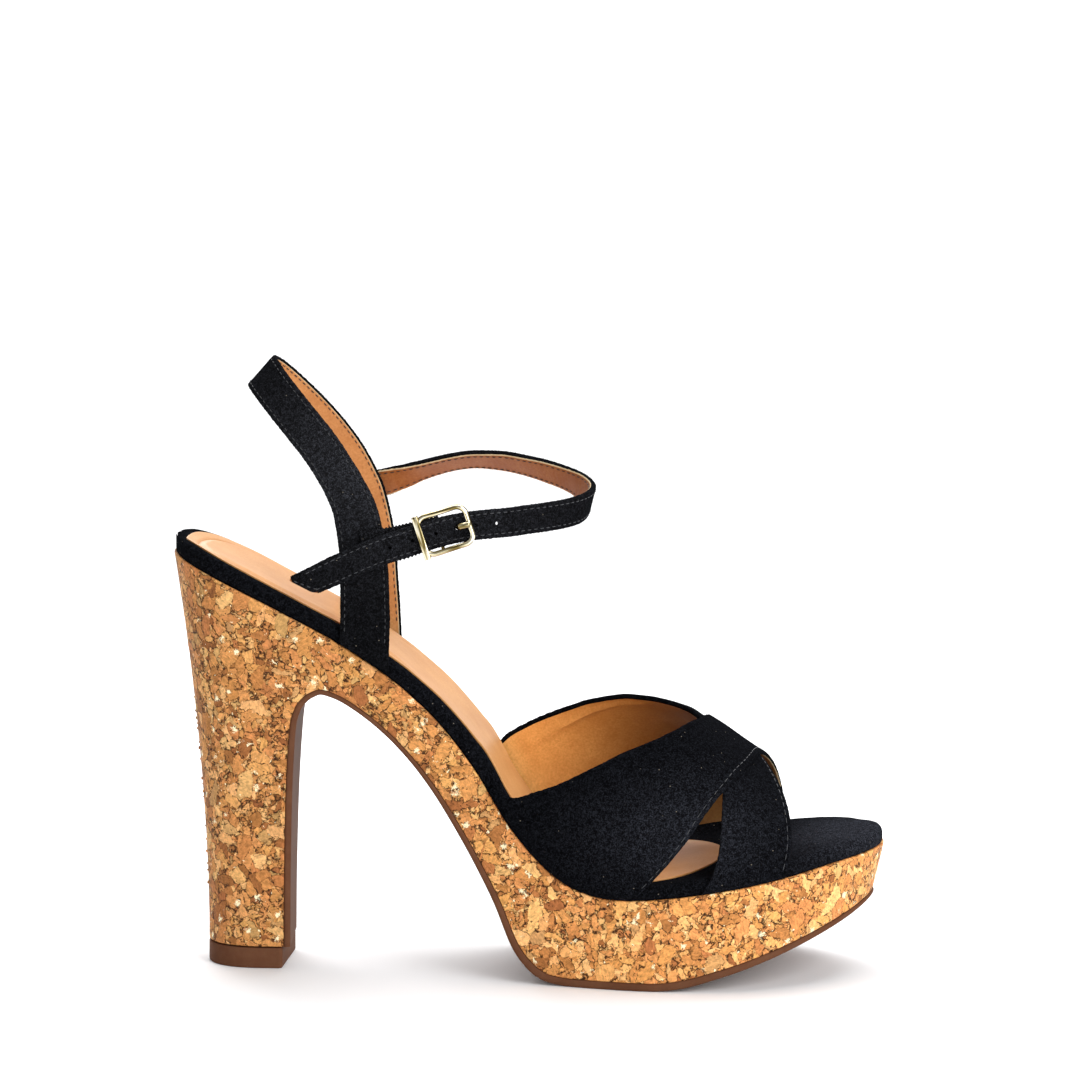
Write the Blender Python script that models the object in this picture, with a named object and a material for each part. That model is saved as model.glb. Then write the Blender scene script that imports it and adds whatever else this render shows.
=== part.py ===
"""Block heel platform sandal for the right foot, sized as EU 37.

Tables and sizes are in millimetres; meshes are made in metres. +X points to the toe, +Y to the inner
(medial) side and +Z up. The shoe stands on z = 0, and its box is centred on the origin.
"""

import math
from collections import namedtuple

import bmesh
import bpy
import numpy as np

MM = 0.001
GAP = 0.3  # clearance between neighbouring pieces

LATERAL, MEDIAL = -1, 1

# Plan of the cork's upper edge: middle line and half width at each station.
Plan = namedtuple("Plan", "x mid half")
PLAN = (
    Plan(-102.0, 0.0, 28.4),
    Plan(-76.0, -0.2, 27.8),
    Plan(-50.0, -0.8, 27.0),
    Plan(-26.0, -2.0, 26.8),
    Plan(-6.0, -3.2, 28.4),
    Plan(12.0, -3.4, 32.6),
    Plan(28.0, -2.8, 37.6),
    Plan(42.0, -1.6, 40.2),
    Plan(56.0, -0.2, 40.2),
    Plan(72.0, 1.4, 38.6),
    Plan(86.0, 2.6, 36.6),
    Plan(102.0, 3.4, 34.4),
)
HEEL_ROUND, HEEL_FULLNESS = 26.0, 2.3  # length and exponent of the rounded seat
TOE_ROUND, TOE_FULLNESS = 48.0, 2.1
BACK, TIP = PLAN[0].x, PLAN[-1].x

# Side line of the seam between the footbed and the cork.
Seam = namedtuple("Seam", "x z")
SEAM = (
    Seam(-102.0, 118.9),
    Seam(-90.0, 113.7),
    Seam(-78.0, 108.1),
    Seam(-66.0, 102.0),
    Seam(-54.0, 95.6),
    Seam(-44.0, 89.3),
    Seam(-34.0, 81.8),
    Seam(-24.0, 72.2),
    Seam(-14.0, 59.3),
    Seam(-6.0, 46.4),
    Seam(2.0, 36.6),
    Seam(10.0, 29.8),
    Seam(18.0, 26.5),
    Seam(28.0, 25.5),
    Seam(40.0, 26.4),
    Seam(56.0, 28.6),
    Seam(72.0, 31.3),
    Seam(88.0, 34.5),
    Seam(102.0, 36.4),
)

# Ribs of the cork wall from the heel's breast to the ball: where each leaves the seam, and the lower
# edge that it runs down to, with the half width there.
Rib = namedtuple("Rib", "seam_x foot_x foot_z half")
RIBS = (
    Rib(-73.7, -69.7, 6.3, 15.3),
    Rib(-72.7, -69.6, 26.0, 16.2),
    Rib(-71.2, -69.1, 50.0, 18.6),
    Rib(-68.8, -68.0, 69.0, 21.4),
    Rib(-66.9, -66.5, 75.7, 22.7),
    Rib(-64.6, -64.1, 79.2, 23.1),
    Rib(-61.8, -61.1, 81.1, 23.4),
    Rib(-58.4, -58.2, 81.6, 23.6),
    Rib(-52.8, -52.8, 79.8, 24.0),
    Rib(-47.2, -47.2, 76.5, 24.4),
    Rib(-41.5, -41.5, 72.2, 24.7),
    Rib(-35.9, -35.9, 67.0, 24.8),
    Rib(-30.2, -30.2, 60.7, 25.0),
    Rib(-24.5, -24.5, 53.1, 25.3),
    Rib(-18.7, -18.7, 44.1, 25.9),
    Rib(-13.0, -13.0, 34.4, 26.7),
    Rib(-7.2, -7.2, 23.4, 27.8),
    Rib(-2.0, -2.4, 12.3, 28.9),
    Rib(2.0, 1.4, 6.9, 29.8),
    Rib(6.0, 5.6, 3.7, 30.8),
    Rib(11.0, 11.0, 2.5, 32.0),
    Rib(18.0, 18.0, 2.3, 34.2),
    Rib(28.0, 28.0, 2.3, 37.2),
    Rib(37.0, 37.0, 2.4, 39.2),
    Rib(45.0, 45.0, 3.5, 39.9),
    Rib(54.0, 53.5, 5.8, 39.8),
)
HEEL_FOOT_Z = RIBS[0].foot_z
HEEL_FOOT_BACK = -92.0
HEEL_FOOT_ROUND = 15.5  # length of the rounded back of the heel's foot
FOOT_FULLNESS = 2.2
FLARE_BACK, FLARE_SIDE = 1.8, 1.6  # exponents of the heel's flare, seen from the side and from behind
BREAST_SKEW = -0.02  # turn of the breast seen from above, and that of the lift under it
LIFT_SKEW = 0.05
SKEW_FRONT, SKEW_END = -64.0, -46.0
TOE_FOOT_TIP = 98.9
TOE_SPRING = (0.283, 0.0021)  # slope and curvature of the sole line ahead of the ball

# Thickness of the outsole, from the flap on the breast to the toe.
Sole = namedtuple("Sole", "x thick")
SOLE = (
    Sole(-70.5, 1.9),
    Sole(-66.0, 1.8),
    Sole(-58.0, 1.5),
    Sole(-45.0, 1.35),
    Sole(-30.0, 1.45),
    Sole(-18.0, 1.7),
    Sole(-7.0, 1.95),
    Sole(4.0, 2.3),
    Sole(25.0, 2.3),
    Sole(45.0, 2.3),
    Sole(60.0, 2.1),
    Sole(76.0, 1.75),
    Sole(90.0, 1.4),
    Sole(99.0, 0.9),
)
FLAT_THICK = 2.3
TOP_PIECE_THICK = HEEL_FOOT_Z - GAP
TOP_PIECE_BREAST = -69.0
TOP_PIECE_CHAMFER = {LATERAL: 0.8, MEDIAL: 2.6}

BAND_INSET = 0.5

# Footbed: height of its edge above the cork and how far its middle lies below the edge.
Bed = namedtuple("Bed", "x edge cup")
BED = (
    Bed(-102.0, 6.4, 2.4),
    Bed(-94.0, 6.0, 2.2),
    Bed(-86.0, 5.5, 1.9),
    Bed(-74.0, 5.0, 1.7),
    Bed(-55.0, 4.8, 1.5),
    Bed(-20.0, 4.8, 1.2),
    Bed(-8.0, 4.9, 1.2),
    Bed(8.0, 4.3, 0.7),
    Bed(20.0, 4.2, 0.6),
    Bed(55.0, 4.4, 0.3),
    Bed(75.0, 4.5, -0.5),
    Bed(102.0, 4.3, -0.5),
)
BALL_RISE = 3.0  # rise of the medial edge beside the ball of the foot
BALL_FROM, BALL_FULL, BALL_FALL, BALL_END = 5.0, 35.0, 58.0, 80.0
BALL_MARGIN = 0.9  # share of the way across from which it rises
BED_COLUMNS = (0.0, 0.3, 0.6, 0.93)
EDGE_ROUND = 1.6
EDGE_STEPS = 3  # faces in the rounding of the footbed's edge

SOCK_GAP, SOCK_THICK = 0.35, 0.55
SOCK_BACK, SOCK_FRONT = -98.6, 56.0
SOCK_FRONT_ROUND = 26.0
Margin = namedtuple("Margin", "x inset")
SOCK_MARGIN = (
    Margin(-102.0, 3.4),
    Margin(-40.0, 3.4),
    Margin(0.0, 4.2),
    Margin(30.0, 5.0),
    Margin(60.0, 6.0),
)

# The last above the seam: height of its crest.
Crest = namedtuple("Crest", "x height")
CREST = (
    Crest(-14.0, 56.7),
    Crest(10.0, 55.4),
    Crest(20.0, 53.6),
    Crest(31.0, 50.9),
    Crest(38.0, 48.6),
    Crest(43.0, 46.6),
    Crest(47.0, 44.5),
    Crest(50.0, 42.2),
    Crest(56.0, 37.5),
    Crest(62.0, 32.5),
    Crest(68.0, 27.8),
    Crest(74.0, 23.6),
    Crest(80.0, 20.5),
)
LAST_FULLNESS = 2.2
LAST_LIFT = 0.1  # height of the last's edge above the seam
LEATHER = 1.5
STRAP_GAP = 0.45

# Edges of the two vamp straps: station at each angle round the last, 0 at the lateral seam and 180
# at the medial one.
Edge = namedtuple("Edge", "angle rear front")
OVER_STRAP = (
    Edge(0.0, -11.2, 30.0),
    Edge(2.0, -9.8, 32.5),
    Edge(7.8, -3.9, 38.2),
    Edge(16.5, 2.3, 44.5),
    Edge(30.0, 12.6, 50.8),
    Edge(43.5, 25.0, 56.4),
    Edge(56.0, 37.5, 60.1),
    Edge(64.0, 42.8, 62.2),
    Edge(73.0, 46.7, 63.9),
    Edge(90.0, 50.2, 66.0),
    Edge(105.0, 52.2, 68.2),
    Edge(125.0, 54.2, 71.2),
    Edge(142.0, 53.9, 72.9),
    Edge(152.0, 52.3, 73.8),
    Edge(163.0, 48.6, 74.5),
    Edge(172.0, 44.4, 74.0),
    Edge(180.0, 41.0, 72.4),
)
UNDER_STRAP = (
    Edge(0.0, 49.0, 72.5),
    Edge(3.2, 51.2, 73.0),
    Edge(10.0, 53.3, 73.8),
    Edge(20.5, 54.4, 74.4),
    Edge(33.5, 54.8, 74.2),
    Edge(47.0, 55.0, 73.3),
    Edge(61.0, 54.4, 71.8),
    Edge(73.0, 52.4, 70.0),
    Edge(84.0, 49.0, 68.2),
    Edge(94.0, 43.0, 66.0),
    Edge(103.0, 32.0, 63.6),
    Edge(112.0, 25.0, 61.4),
    Edge(122.0, 18.0, 58.9),
    Edge(133.0, 11.2, 55.6),
    Edge(145.0, 4.4, 50.4),
    Edge(157.0, -2.0, 43.4),
    Edge(168.0, -7.4, 36.0),
    Edge(175.0, -10.2, 30.6),
    Edge(180.0, -12.0, 26.0),
)
STRAP_LIFT = 1.35  # rise of the over strap where the other passes beneath
LIFT_FROM, LIFT_FULL = 24.0, 40.0
CROWDING = 0.55  # how far the straps' cross lines gather at the seam

# Back strap on one side, from the back of the ankle to the seam: middle of the strap, its distance
# from the ankle's middle line, the lean and length of its cross line, and how far along that line
# the medial side runs ahead of the lateral one.
Sling = namedtuple("Sling", "x z spread lean width ahead")
SLING = (
    Sling(-77.0, 169.8, 0.0, 48.0, 11.4, 0.0),
    Sling(-76.0, 168.7, 4.4, 46.0, 11.4, 0.3),
    Sling(-73.4, 165.8, 8.8, 43.0, 11.2, 0.7),
    Sling(-68.5, 160.4, 13.8, 41.0, 11.2, 0.9),
    Sling(-63.8, 155.3, 17.6, 40.0, 11.2, 0.8),
    Sling(-59.1, 150.0, 21.2, 38.0, 11.2, 0.4),
    Sling(-54.9, 144.3, 24.2, 34.0, 11.2, 0.1),
    Sling(-51.2, 138.2, 26.2, 25.0, 11.6, -0.5),
    Sling(-48.5, 132.0, 27.0, 12.0, 12.4, -1.0),
    Sling(-46.35, 120.2, 27.3, 2.0, 13.3, -1.0),
    Sling(-45.75, 105.0, 27.6, 0.0, 13.8, -0.6),
    Sling(-45.85, 96.5, 27.75, -14.0, 14.2, 0.2),
    Sling(-46.0, 91.3, 27.75, -31.0, 15.8, 0.7),
)
ANKLE_MID = -0.8

# Centre line of the ankle strap, from its free tip on the lateral side to the medial quarter, and
# how far its upper edge leans in.
Route = namedtuple("Route", "x y z lean")
ANKLE = (
    Route(-63.5, -31.7, 111.8, 0.0),
    Route(-58.5, -31.8, 114.2, 0.0),
    Route(-51.7, -31.9, 117.4, 0.0),
    Route(-43.0, -31.9, 121.3, 0.0),
    Route(-34.2, -31.9, 124.4, 0.0),
    Route(-25.5, -31.7, 127.2, 2.0),
    Route(-20.3, -31.4, 128.5, 3.0),
    Route(-16.0, -30.8, 129.2, 4.0),
    Route(-10.9, -29.7, 129.7, 5.0),
    Route(-5.7, -28.2, 130.1, 5.0),
    Route(-0.6, -26.2, 130.7, 4.0),
    Route(4.5, -23.6, 131.2, 2.0),
    Route(9.6, -19.8, 131.8, -1.0),
    Route(13.6, -15.2, 132.6, -6.0),
    Route(16.0, -8.6, 133.7, -13.0),
    Route(16.5, -1.6, 134.8, -13.0),
    Route(15.2, 3.8, 136.3, -2.0),
    Route(12.6, 7.6, 137.8, 13.0),
    Route(8.9, 11.2, 139.2, 25.0),
    Route(3.4, 15.0, 140.7, 32.0),
    Route(-2.0, 18.2, 141.8, 40.0),
    Route(-7.5, 20.9, 142.7, 45.0),
    Route(-13.0, 23.1, 143.0, 51.0),
    Route(-18.4, 24.8, 142.9, 55.0),
    Route(-23.9, 26.0, 142.0, 57.0),
    Route(-29.3, 26.9, 140.6, 55.0),
    Route(-34.8, 27.5, 138.8, 47.0),
    Route(-40.2, 28.1, 136.9, 29.0),
    Route(-45.5, 28.4, 135.3, 9.0),
    Route(-53.0, 28.4, 133.6, 0.0),
)
ANKLE_WIDTH, ANKLE_THICK = 8.1, 1.8
TIP_SLANT = 5.1  # how far the free end's upper corner reaches past its lower one
TIP_NARROW = 0.92

BUCKLE_CENTRE = (-23.16, -34.0, 128.16)
BUCKLE_LEAN = 18.8
BUCKLE_LENGTH, BUCKLE_HEIGHT, BUCKLE_CORNER = 14.0, 10.8, 2.7
BUCKLE_WIRE = 1.5
KEEPER_LENGTH, KEEPER_WIDTH, KEEPER_THICK = 12.5, 1.9, 1.7
HINGE_FORWARD = 4.5  # from the keeper bar to the hinge bar
HINGE_BACK = 5.3  # from the frame back to the hinge bar
HINGE_WIRE = 1.0
HINGE_HIGH = BUCKLE_HEIGHT / 2 + 0.1  # height of the hinge bar's legs from the buckle's middle
HINGE_BITE = 0.2  # how far the legs start ahead of the frame's middle
PRONG_WIRE = 1.5
PRONG_OUT = BUCKLE_WIRE / 2 + PRONG_WIRE / 2 + GAP  # of the prong's tip, ahead of the frame's middle
# Centre line of the prong: how far behind its tip, how far in from the tip's face, and height.
Bend = namedtuple("Bend", "behind sunk up")
PRONG = (Bend(4.7, 0.9, -0.2), Bend(3.8, 0.35, -0.2), Bend(2.72, 0.0, -0.25), Bend(0.0, 0.0, -0.4))
PRONG_TIP = BUCKLE_LENGTH / 2 + 0.4

# Elastic tab, from the quarter to its fold round the hinge bar.
Tab = namedtuple("Tab", "x z height")
TAB = (
    Tab(-46.5, 122.4, 9.6),
    Tab(-41.0, 123.2, 9.6),
    Tab(-36.0, 124.2, 9.6),
    Tab(-31.0, 125.7, 9.0),
    Tab(-25.53, 127.35, 8.2),
)
TAB_THICK = 0.7
TAB_RETURN = 10.0

# Colour, roughness and metallic value of each material.
SUEDE = ("black_microsuede", (0.012, 0.012, 0.014), 0.95, 0.0)
SOCK_TAN = ("tan_sock", (0.78, 0.45, 0.23), 0.55, 0.0)
CORK = ("cork_sheet", (0.58, 0.33, 0.14), 0.8, 0.0)
RUBBER = ("brown_rubber", (0.13, 0.07, 0.045), 0.6, 0.0)
GOLD = ("pale_gold_metal", (0.85, 0.70, 0.42), 0.22, 1.0)


def hermite(rows, column, at):
    """A column of a table as a smooth curve through its rows, read against the first column."""
    xs = np.array([row[0] for row in rows], float)
    ys = np.array([getattr(row, column) for row in rows], float)
    slopes = np.gradient(ys, xs)
    at = np.clip(np.asarray(at, float), xs[0], xs[-1])
    k = np.clip(np.searchsorted(xs, at, side="right") - 1, 0, len(xs) - 2)
    span = xs[k + 1] - xs[k]
    t = (at - xs[k]) / span
    return (
        ys[k] * (1 + 2 * t) * (1 - t) ** 2
        + slopes[k] * span * t * (1 - t) ** 2
        + ys[k + 1] * t**2 * (3 - 2 * t)
        + slopes[k + 1] * span * t**2 * (t - 1)
    )


def along(rows, count):
    """Rows of a table resampled at even steps of their index, as a dict of smooth columns."""
    index = np.arange(len(rows))
    at = np.linspace(0, len(rows) - 1, count)
    Step = namedtuple("Step", "index value")
    found = {}
    for name in rows[0]._fields:
        column = [Step(i, getattr(rows[i], name)) for i in index]
        found[name] = hermite(column, "value", at)
    return found


def smoothstep(value, start, end):
    """0 before start, 1 after end, and an even curve between."""
    t = np.clip((np.asarray(value, float) - start) / (end - start), 0, 1)
    return t * t * (3 - 2 * t)


def mid_line(x):
    """Position of the sole's middle line at a station."""
    return hermite(PLAN, "mid", x)


def rounding(x, inset=0.0):
    """Share of the half width left at a station by the rounded seat and toe, drawn in by inset."""
    heel = np.clip((BACK + HEEL_ROUND - x) / (HEEL_ROUND - inset), 0, 1)
    toe = np.clip((x - TIP + TOE_ROUND) / (TOE_ROUND - inset), 0, 1)
    seat = (1 - heel**HEEL_FULLNESS) ** (1 / HEEL_FULLNESS)
    return seat * (1 - toe**TOE_FULLNESS) ** (1 / TOE_FULLNESS)


def half_width(x, inset=0.0):
    """Half width of the plan at a station, drawn in by inset all round."""
    return (hermite(PLAN, "half", x) - inset) * rounding(x, inset)


def seam_z(x):
    """Height of the seam between the footbed and the cork."""
    return hermite(SEAM, "z", x)


def upright(x):
    """Rise that stands for one millimetre square to the seam."""
    step = 0.5
    slope = (seam_z(x + step) - seam_z(x - step)) / (2 * step)
    return np.sqrt(1 + slope**2)


def end_stations(centre, reach, fullness, count):
    """Stations and width shares of a rounded end, from its tip to its full width."""
    phi = np.linspace(0, math.pi / 2, count)
    return centre + reach * np.cos(phi) ** (2 / fullness), np.sin(phi) ** (2 / fullness)


def material(finish):
    """The Principled material of a finish, made once."""
    name, colour, roughness, metallic = finish
    made = bpy.data.materials.get(name) or bpy.data.materials.new(name)
    made.use_nodes = True
    shader = made.node_tree.nodes["Principled BSDF"]
    shader.inputs["Base Color"].default_value = (*colour, 1.0)
    shader.inputs["Roughness"].default_value = roughness
    shader.inputs["Metallic"].default_value = metallic
    return made


def finish_mesh(name, bm, finish, collection):
    """Welds the mesh, turns its faces out and puts it in the sandal's collection."""
    bmesh.ops.remove_doubles(bm, verts=bm.verts, dist=1e-6)
    bmesh.ops.dissolve_degenerate(bm, edges=bm.edges, dist=1e-7)
    bmesh.ops.recalc_face_normals(bm, faces=bm.faces)
    if bm.calc_volume(signed=True) < 0:
        bmesh.ops.reverse_faces(bm, faces=bm.faces)
    mesh = bpy.data.meshes.new(name)
    bm.to_mesh(mesh)
    bm.free()
    mesh.shade_smooth()
    mesh.set_sharp_from_angle(angle=math.radians(40))
    mesh.materials.append(material(finish))
    made = bpy.data.objects.new(name, mesh)
    collection.objects.link(made)
    return made


def loft(name, rings, finish, collection, caps=(True, True)):
    """A closed solid through rings of one size. A ring's second half runs back beside its first, so
    that a cap is a row of quads; an end with no cap has collapsed to a line."""
    count, size, _ = rings.shape
    bm = bmesh.new()
    verts = [bm.verts.new(point) for point in rings.reshape(-1, 3) * MM]
    for i in range(count - 1):
        for j in range(size):
            k = (j + 1) % size
            quad = ((i, j), (i + 1, j), (i + 1, k), (i, k))
            bm.faces.new([verts[row * size + col] for row, col in quad])
    for wanted, ring in zip(caps, (0, count - 1)):
        if not wanted:
            continue
        for j in range(size // 2 - 1):
            quad = (j, j + 1, size - 2 - j, size - 1 - j)
            bm.faces.new([verts[ring * size + col] for col in quad])
    return finish_mesh(name, bm, finish, collection)


def bed_points(x, across, height):
    """Points on the footbed's own frame: station, position across, height square to the seam."""
    return np.stack([x, across, seam_z(x) + upright(x) * height], axis=-1)


def bed_top(x, share):
    """Height of the footbed's top face above the seam, share being -1 to 1 across."""
    ball = smoothstep(x, BALL_FROM, BALL_FULL) * (1 - smoothstep(x, BALL_FALL, BALL_END))
    rise = BALL_RISE * ball * smoothstep(share, BALL_MARGIN, 1)
    return hermite(BED, "edge", x) - hermite(BED, "cup", x) * (1 - share**2) + rise


def plate_rings(x, across, lower, upper):
    """Rings of a plate on the footbed's frame from its positions across and its two heights."""
    below = bed_points(x, across, lower)
    above = bed_points(x, across, upper)
    return np.concatenate([below, above[:, ::-1]], axis=1)


def make_footbed(collection):
    """Wrapped footbed: a plate on the seam with a dished top and a rounded edge."""
    back, _ = end_stations(BACK + HEEL_ROUND, BAND_INSET - HEEL_ROUND, HEEL_FULLNESS, 11)
    toe, _ = end_stations(TIP - TOE_ROUND, TOE_ROUND - BAND_INSET, TOE_FULLNESS, 12)
    middle = np.linspace(back[-1], toe[-1], 31)[1:-1]
    x = np.concatenate([back, middle, toe[::-1]])[:, None]
    half = half_width(x, BAND_INSET)
    rounding_size = np.minimum(EDGE_ROUND, half / 2)
    turn = np.linspace(0, math.pi / 2, EDGE_STEPS + 1)[None, :]
    rim = half - rounding_size * (1 - np.sin(turn))
    inner = (half - rounding_size) * np.array(BED_COLUMNS)[None, :]
    right = np.concatenate([inner, rim], axis=1)
    drop = np.concatenate([0 * inner, rounding_size * (1 - np.cos(turn))], axis=1)
    across = np.concatenate([-right[:, :0:-1], right], axis=1)
    drop = np.concatenate([drop[:, :0:-1], drop], axis=1)
    grid = np.repeat(x, across.shape[1], axis=1)
    reach = np.clip(1 - np.minimum(grid - x[0], x[-1] - grid) / EDGE_ROUND, 0, 1)
    tip_drop = EDGE_ROUND * (1 - np.sqrt(1 - reach**2))
    share = across / np.maximum(half, 1e-6)
    top = bed_top(grid, np.clip(share, -1, 1)) - np.maximum(drop, tip_drop)
    rings = plate_rings(grid, mid_line(grid) + across, 0 * grid, top)
    return loft("footbed", rings, SUEDE, collection, caps=(False, False))


def make_sock(collection):
    """Sock on the footbed, a little smaller than its top and rounded at the front."""
    rounded = HEEL_ROUND + BACK - SOCK_BACK
    back, back_share = end_stations(SOCK_BACK + rounded, -rounded, HEEL_FULLNESS, 9)
    front, front_share = end_stations(SOCK_FRONT - SOCK_FRONT_ROUND, SOCK_FRONT_ROUND, 2.0, 9)
    middle = np.linspace(back[-1], front[-1], 23)[1:-1]
    x = np.concatenate([back, middle, front[::-1]])[:, None]
    width_share = np.concatenate([back_share, np.ones(len(middle)), front_share[::-1]])[:, None]
    half = (hermite(PLAN, "half", x) - hermite(SOCK_MARGIN, "inset", x) - BAND_INSET) * width_share
    across = half * np.linspace(-1, 1, 9)[None, :]
    grid = np.repeat(x, across.shape[1], axis=1)
    below = bed_top(grid, across / half_width(grid, BAND_INSET)) + SOCK_GAP
    rings = plate_rings(grid, mid_line(grid) + across, below, below + SOCK_THICK)
    return loft("sock", rings, SOCK_TAN, collection, caps=(False, False))


def flared(share, power):
    """Share of the way from the seam line to the foot line at a share of the height."""
    return 1 - (1 - share) ** power


def rib_set(heel_count, per_rib, toe_count):
    """Ribs of the cork wall: seam station and width share, and foot station, height and half width."""
    seam_x, seam_share = end_stations(BACK + HEEL_ROUND, -HEEL_ROUND, HEEL_FULLNESS, heel_count)
    foot_x, foot_share = end_stations(
        HEEL_FOOT_BACK + HEEL_FOOT_ROUND, -HEEL_FOOT_ROUND, FOOT_FULLNESS, heel_count
    )
    heel = np.stack([
        seam_x, seam_share, foot_x, np.full(heel_count, HEEL_FOOT_Z), foot_share * RIBS[0].half,
    ], axis=1)
    body = along(RIBS, per_rib * (len(RIBS) - 1) + 1)
    body["foot_z"] = np.maximum(body["foot_z"], FLAT_THICK)
    waist = np.stack([
        body["seam_x"], np.ones(len(body["half"])), body["foot_x"], body["foot_z"], body["half"],
    ], axis=1)
    seam_x, seam_share = end_stations(RIBS[-1].seam_x, TIP - RIBS[-1].seam_x, TOE_FULLNESS, toe_count)
    foot_x, foot_share = end_stations(
        RIBS[-1].foot_x, TOE_FOOT_TIP - RIBS[-1].foot_x, TOE_FULLNESS, toe_count
    )
    ahead = foot_x - RIBS[-1].foot_x
    foot_z = RIBS[-1].foot_z + TOE_SPRING[0] * ahead + TOE_SPRING[1] * ahead**2
    narrowing = (hermite(PLAN, "half", seam_x) / hermite(PLAN, "half", RIBS[-1].seam_x))
    toe = np.stack([seam_x, seam_share, foot_x, foot_z, foot_share * RIBS[-1].half * narrowing], axis=1)
    return heel, waist, toe[::-1]


def foot_points(ribs, side):
    """Lower edge of the cork wall on one side, with the breast turned a little."""
    skew = BREAST_SKEW * (1 - smoothstep(ribs[:, 2], SKEW_FRONT, SKEW_END))
    across = side * ribs[:, 4]
    return np.stack([ribs[:, 2] + skew * across, mid_line(ribs[:, 2]) + across, ribs[:, 3]], axis=1)


def wall_points(ribs, side, rows):
    """Grid of the cork wall on one side: each rib runs from the seam to its foot, flared as the heel."""
    top_half = hermite(PLAN, "half", ribs[:, 0]) * ribs[:, 1]
    top = np.stack([
        ribs[:, 0],
        mid_line(ribs[:, 0]) + side * top_half,
        seam_z(ribs[:, 0]) - upright(ribs[:, 0]) * GAP,
    ], axis=1)
    foot = foot_points(ribs, side)
    reach = np.clip((top[:, 2] - foot[:, 2]) / (top[:, 2] - HEEL_FOOT_Z), 0.02, 1)[:, None]
    heelness = (1 - smoothstep(ribs[:, 0], SKEW_FRONT, SKEW_END))[:, None]
    level = np.linspace(0, 1, rows)[None, :]
    shares = []
    for power in (FLARE_BACK, FLARE_SIDE):
        curved = flared(level * reach, power) / flared(reach, power)
        shares.append(heelness * curved + (1 - heelness) * level)
    grid = top[:, None, :] + (foot - top)[:, None, :] * np.stack(
        [shares[0], shares[1], np.repeat(level, len(ribs), axis=0)], axis=-1
    )
    return grid


def make_platform_heel(collection):
    """Cork block in one piece: heel, waist and platform."""
    heel, waist, toe = rib_set(11, 2, 12)
    ribs = np.concatenate([heel, waist, toe[1:]])
    lateral = wall_points(ribs, LATERAL, 9)
    medial = wall_points(ribs, MEDIAL, 9)
    rings = np.concatenate([lateral, medial[:, ::-1]], axis=1)
    return loft("platform_heel", rings, CORK, collection, caps=(False, False))


def make_outsole(collection):
    """Outsole from the top of the lift, up the breast, under the waist and on to the toe."""
    _, waist, toe = rib_set(2, 2, 12)
    ribs = np.concatenate([waist, toe[1:]])
    path = ribs[:, 2:4]
    tangent = np.gradient(path, axis=0)
    tangent /= np.linalg.norm(tangent, axis=1)[:, None]
    down = np.stack([tangent[:, 1], np.zeros(len(ribs)), -tangent[:, 0]], axis=1)
    thick = np.minimum(hermite(SOLE, "thick", ribs[:, 2]), FLAT_THICK)
    thick = np.where(ribs[:, 3] <= FLAT_THICK, FLAT_THICK, thick)
    inner = [foot_points(ribs, side) + down * GAP for side in (LATERAL, MEDIAL)]
    outer = [foot_points(ribs, side) + down * thick[:, None] for side in (LATERAL, MEDIAL)]
    rings = np.stack([inner[0], inner[1], outer[1], outer[0]], axis=1)
    return loft("outsole", rings, RUBBER, collection, caps=(True, False))


def make_top_piece(collection):
    """Lift under the heel: its plan extruded to its thickness."""
    x, share = end_stations(HEEL_FOOT_BACK + HEEL_FOOT_ROUND, -HEEL_FOOT_ROUND, FOOT_FULLNESS, 11)
    half = RIBS[0].half
    breast = TOP_PIECE_BREAST
    outline = []
    for side in (LATERAL, MEDIAL):
        edge = [(float(a), side * half * float(b)) for a, b in zip(x, share)]
        chamfer = TOP_PIECE_CHAMFER[side]
        edge.append((breast - chamfer + LIFT_SKEW * side * half, side * half))
        edge.append((breast + LIFT_SKEW * side * half, side * (half - chamfer)))
        outline.append(edge)
    flat = outline[1] + outline[0][:0:-1]
    middle = float(mid_line(HEEL_FOOT_BACK))
    bm = bmesh.new()
    face = bm.faces.new([bm.verts.new((px * MM, (py + middle) * MM, 0.0)) for px, py in flat])
    raised = bmesh.ops.extrude_face_region(bm, geom=[face])["geom"]
    tops = [item for item in raised if isinstance(item, bmesh.types.BMVert)]
    bmesh.ops.translate(bm, verts=tops, vec=(0, 0, TOP_PIECE_THICK * MM))
    return finish_mesh("top_piece", bm, RUBBER, collection)


def last_points(x, angle, offset):
    """Points on the last at a station and an angle round it, moved out by offset."""
    turn = np.radians(angle)
    cosine, sine = np.cos(turn), np.sin(turn)
    half = half_width(x) - BAND_INSET + offset
    height = hermite(CREST, "height", x) + offset
    across = -np.sign(cosine) * np.abs(cosine) ** (2 / LAST_FULLNESS) * half
    up = np.abs(sine) ** (2 / LAST_FULLNESS) * height
    return np.stack([x, mid_line(x) + across, seam_z(x) + LAST_LIFT + up], axis=-1)


def strap_rings(edges, inner, outer, count, columns):
    """Rings of a vamp strap, evenly spaced round the last; inner and outer are offsets by angle."""
    ease = np.linspace(0, 1, count)
    angle = 90 * (1 - np.cos(math.pi * ease)) * CROWDING + 180 * ease * (1 - CROWDING)
    rear, front = hermite(edges, "rear", angle), hermite(edges, "front", angle)
    share = np.linspace(0, 1, columns)
    x = rear[:, None] + (front - rear)[:, None] * share
    turn = np.repeat(angle[:, None], columns, axis=1)
    below = last_points(x, turn, inner(turn))
    above = last_points(x, turn, outer(turn))
    return np.concatenate([below, above[:, ::-1]], axis=1)


def strap_lift(angle):
    """How far the over strap rises off the last, by the angle round it."""
    lateral = smoothstep(angle, LIFT_FROM, LIFT_FULL)
    return STRAP_LIFT * lateral * smoothstep(180 - angle, LIFT_FROM, LIFT_FULL)


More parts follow.
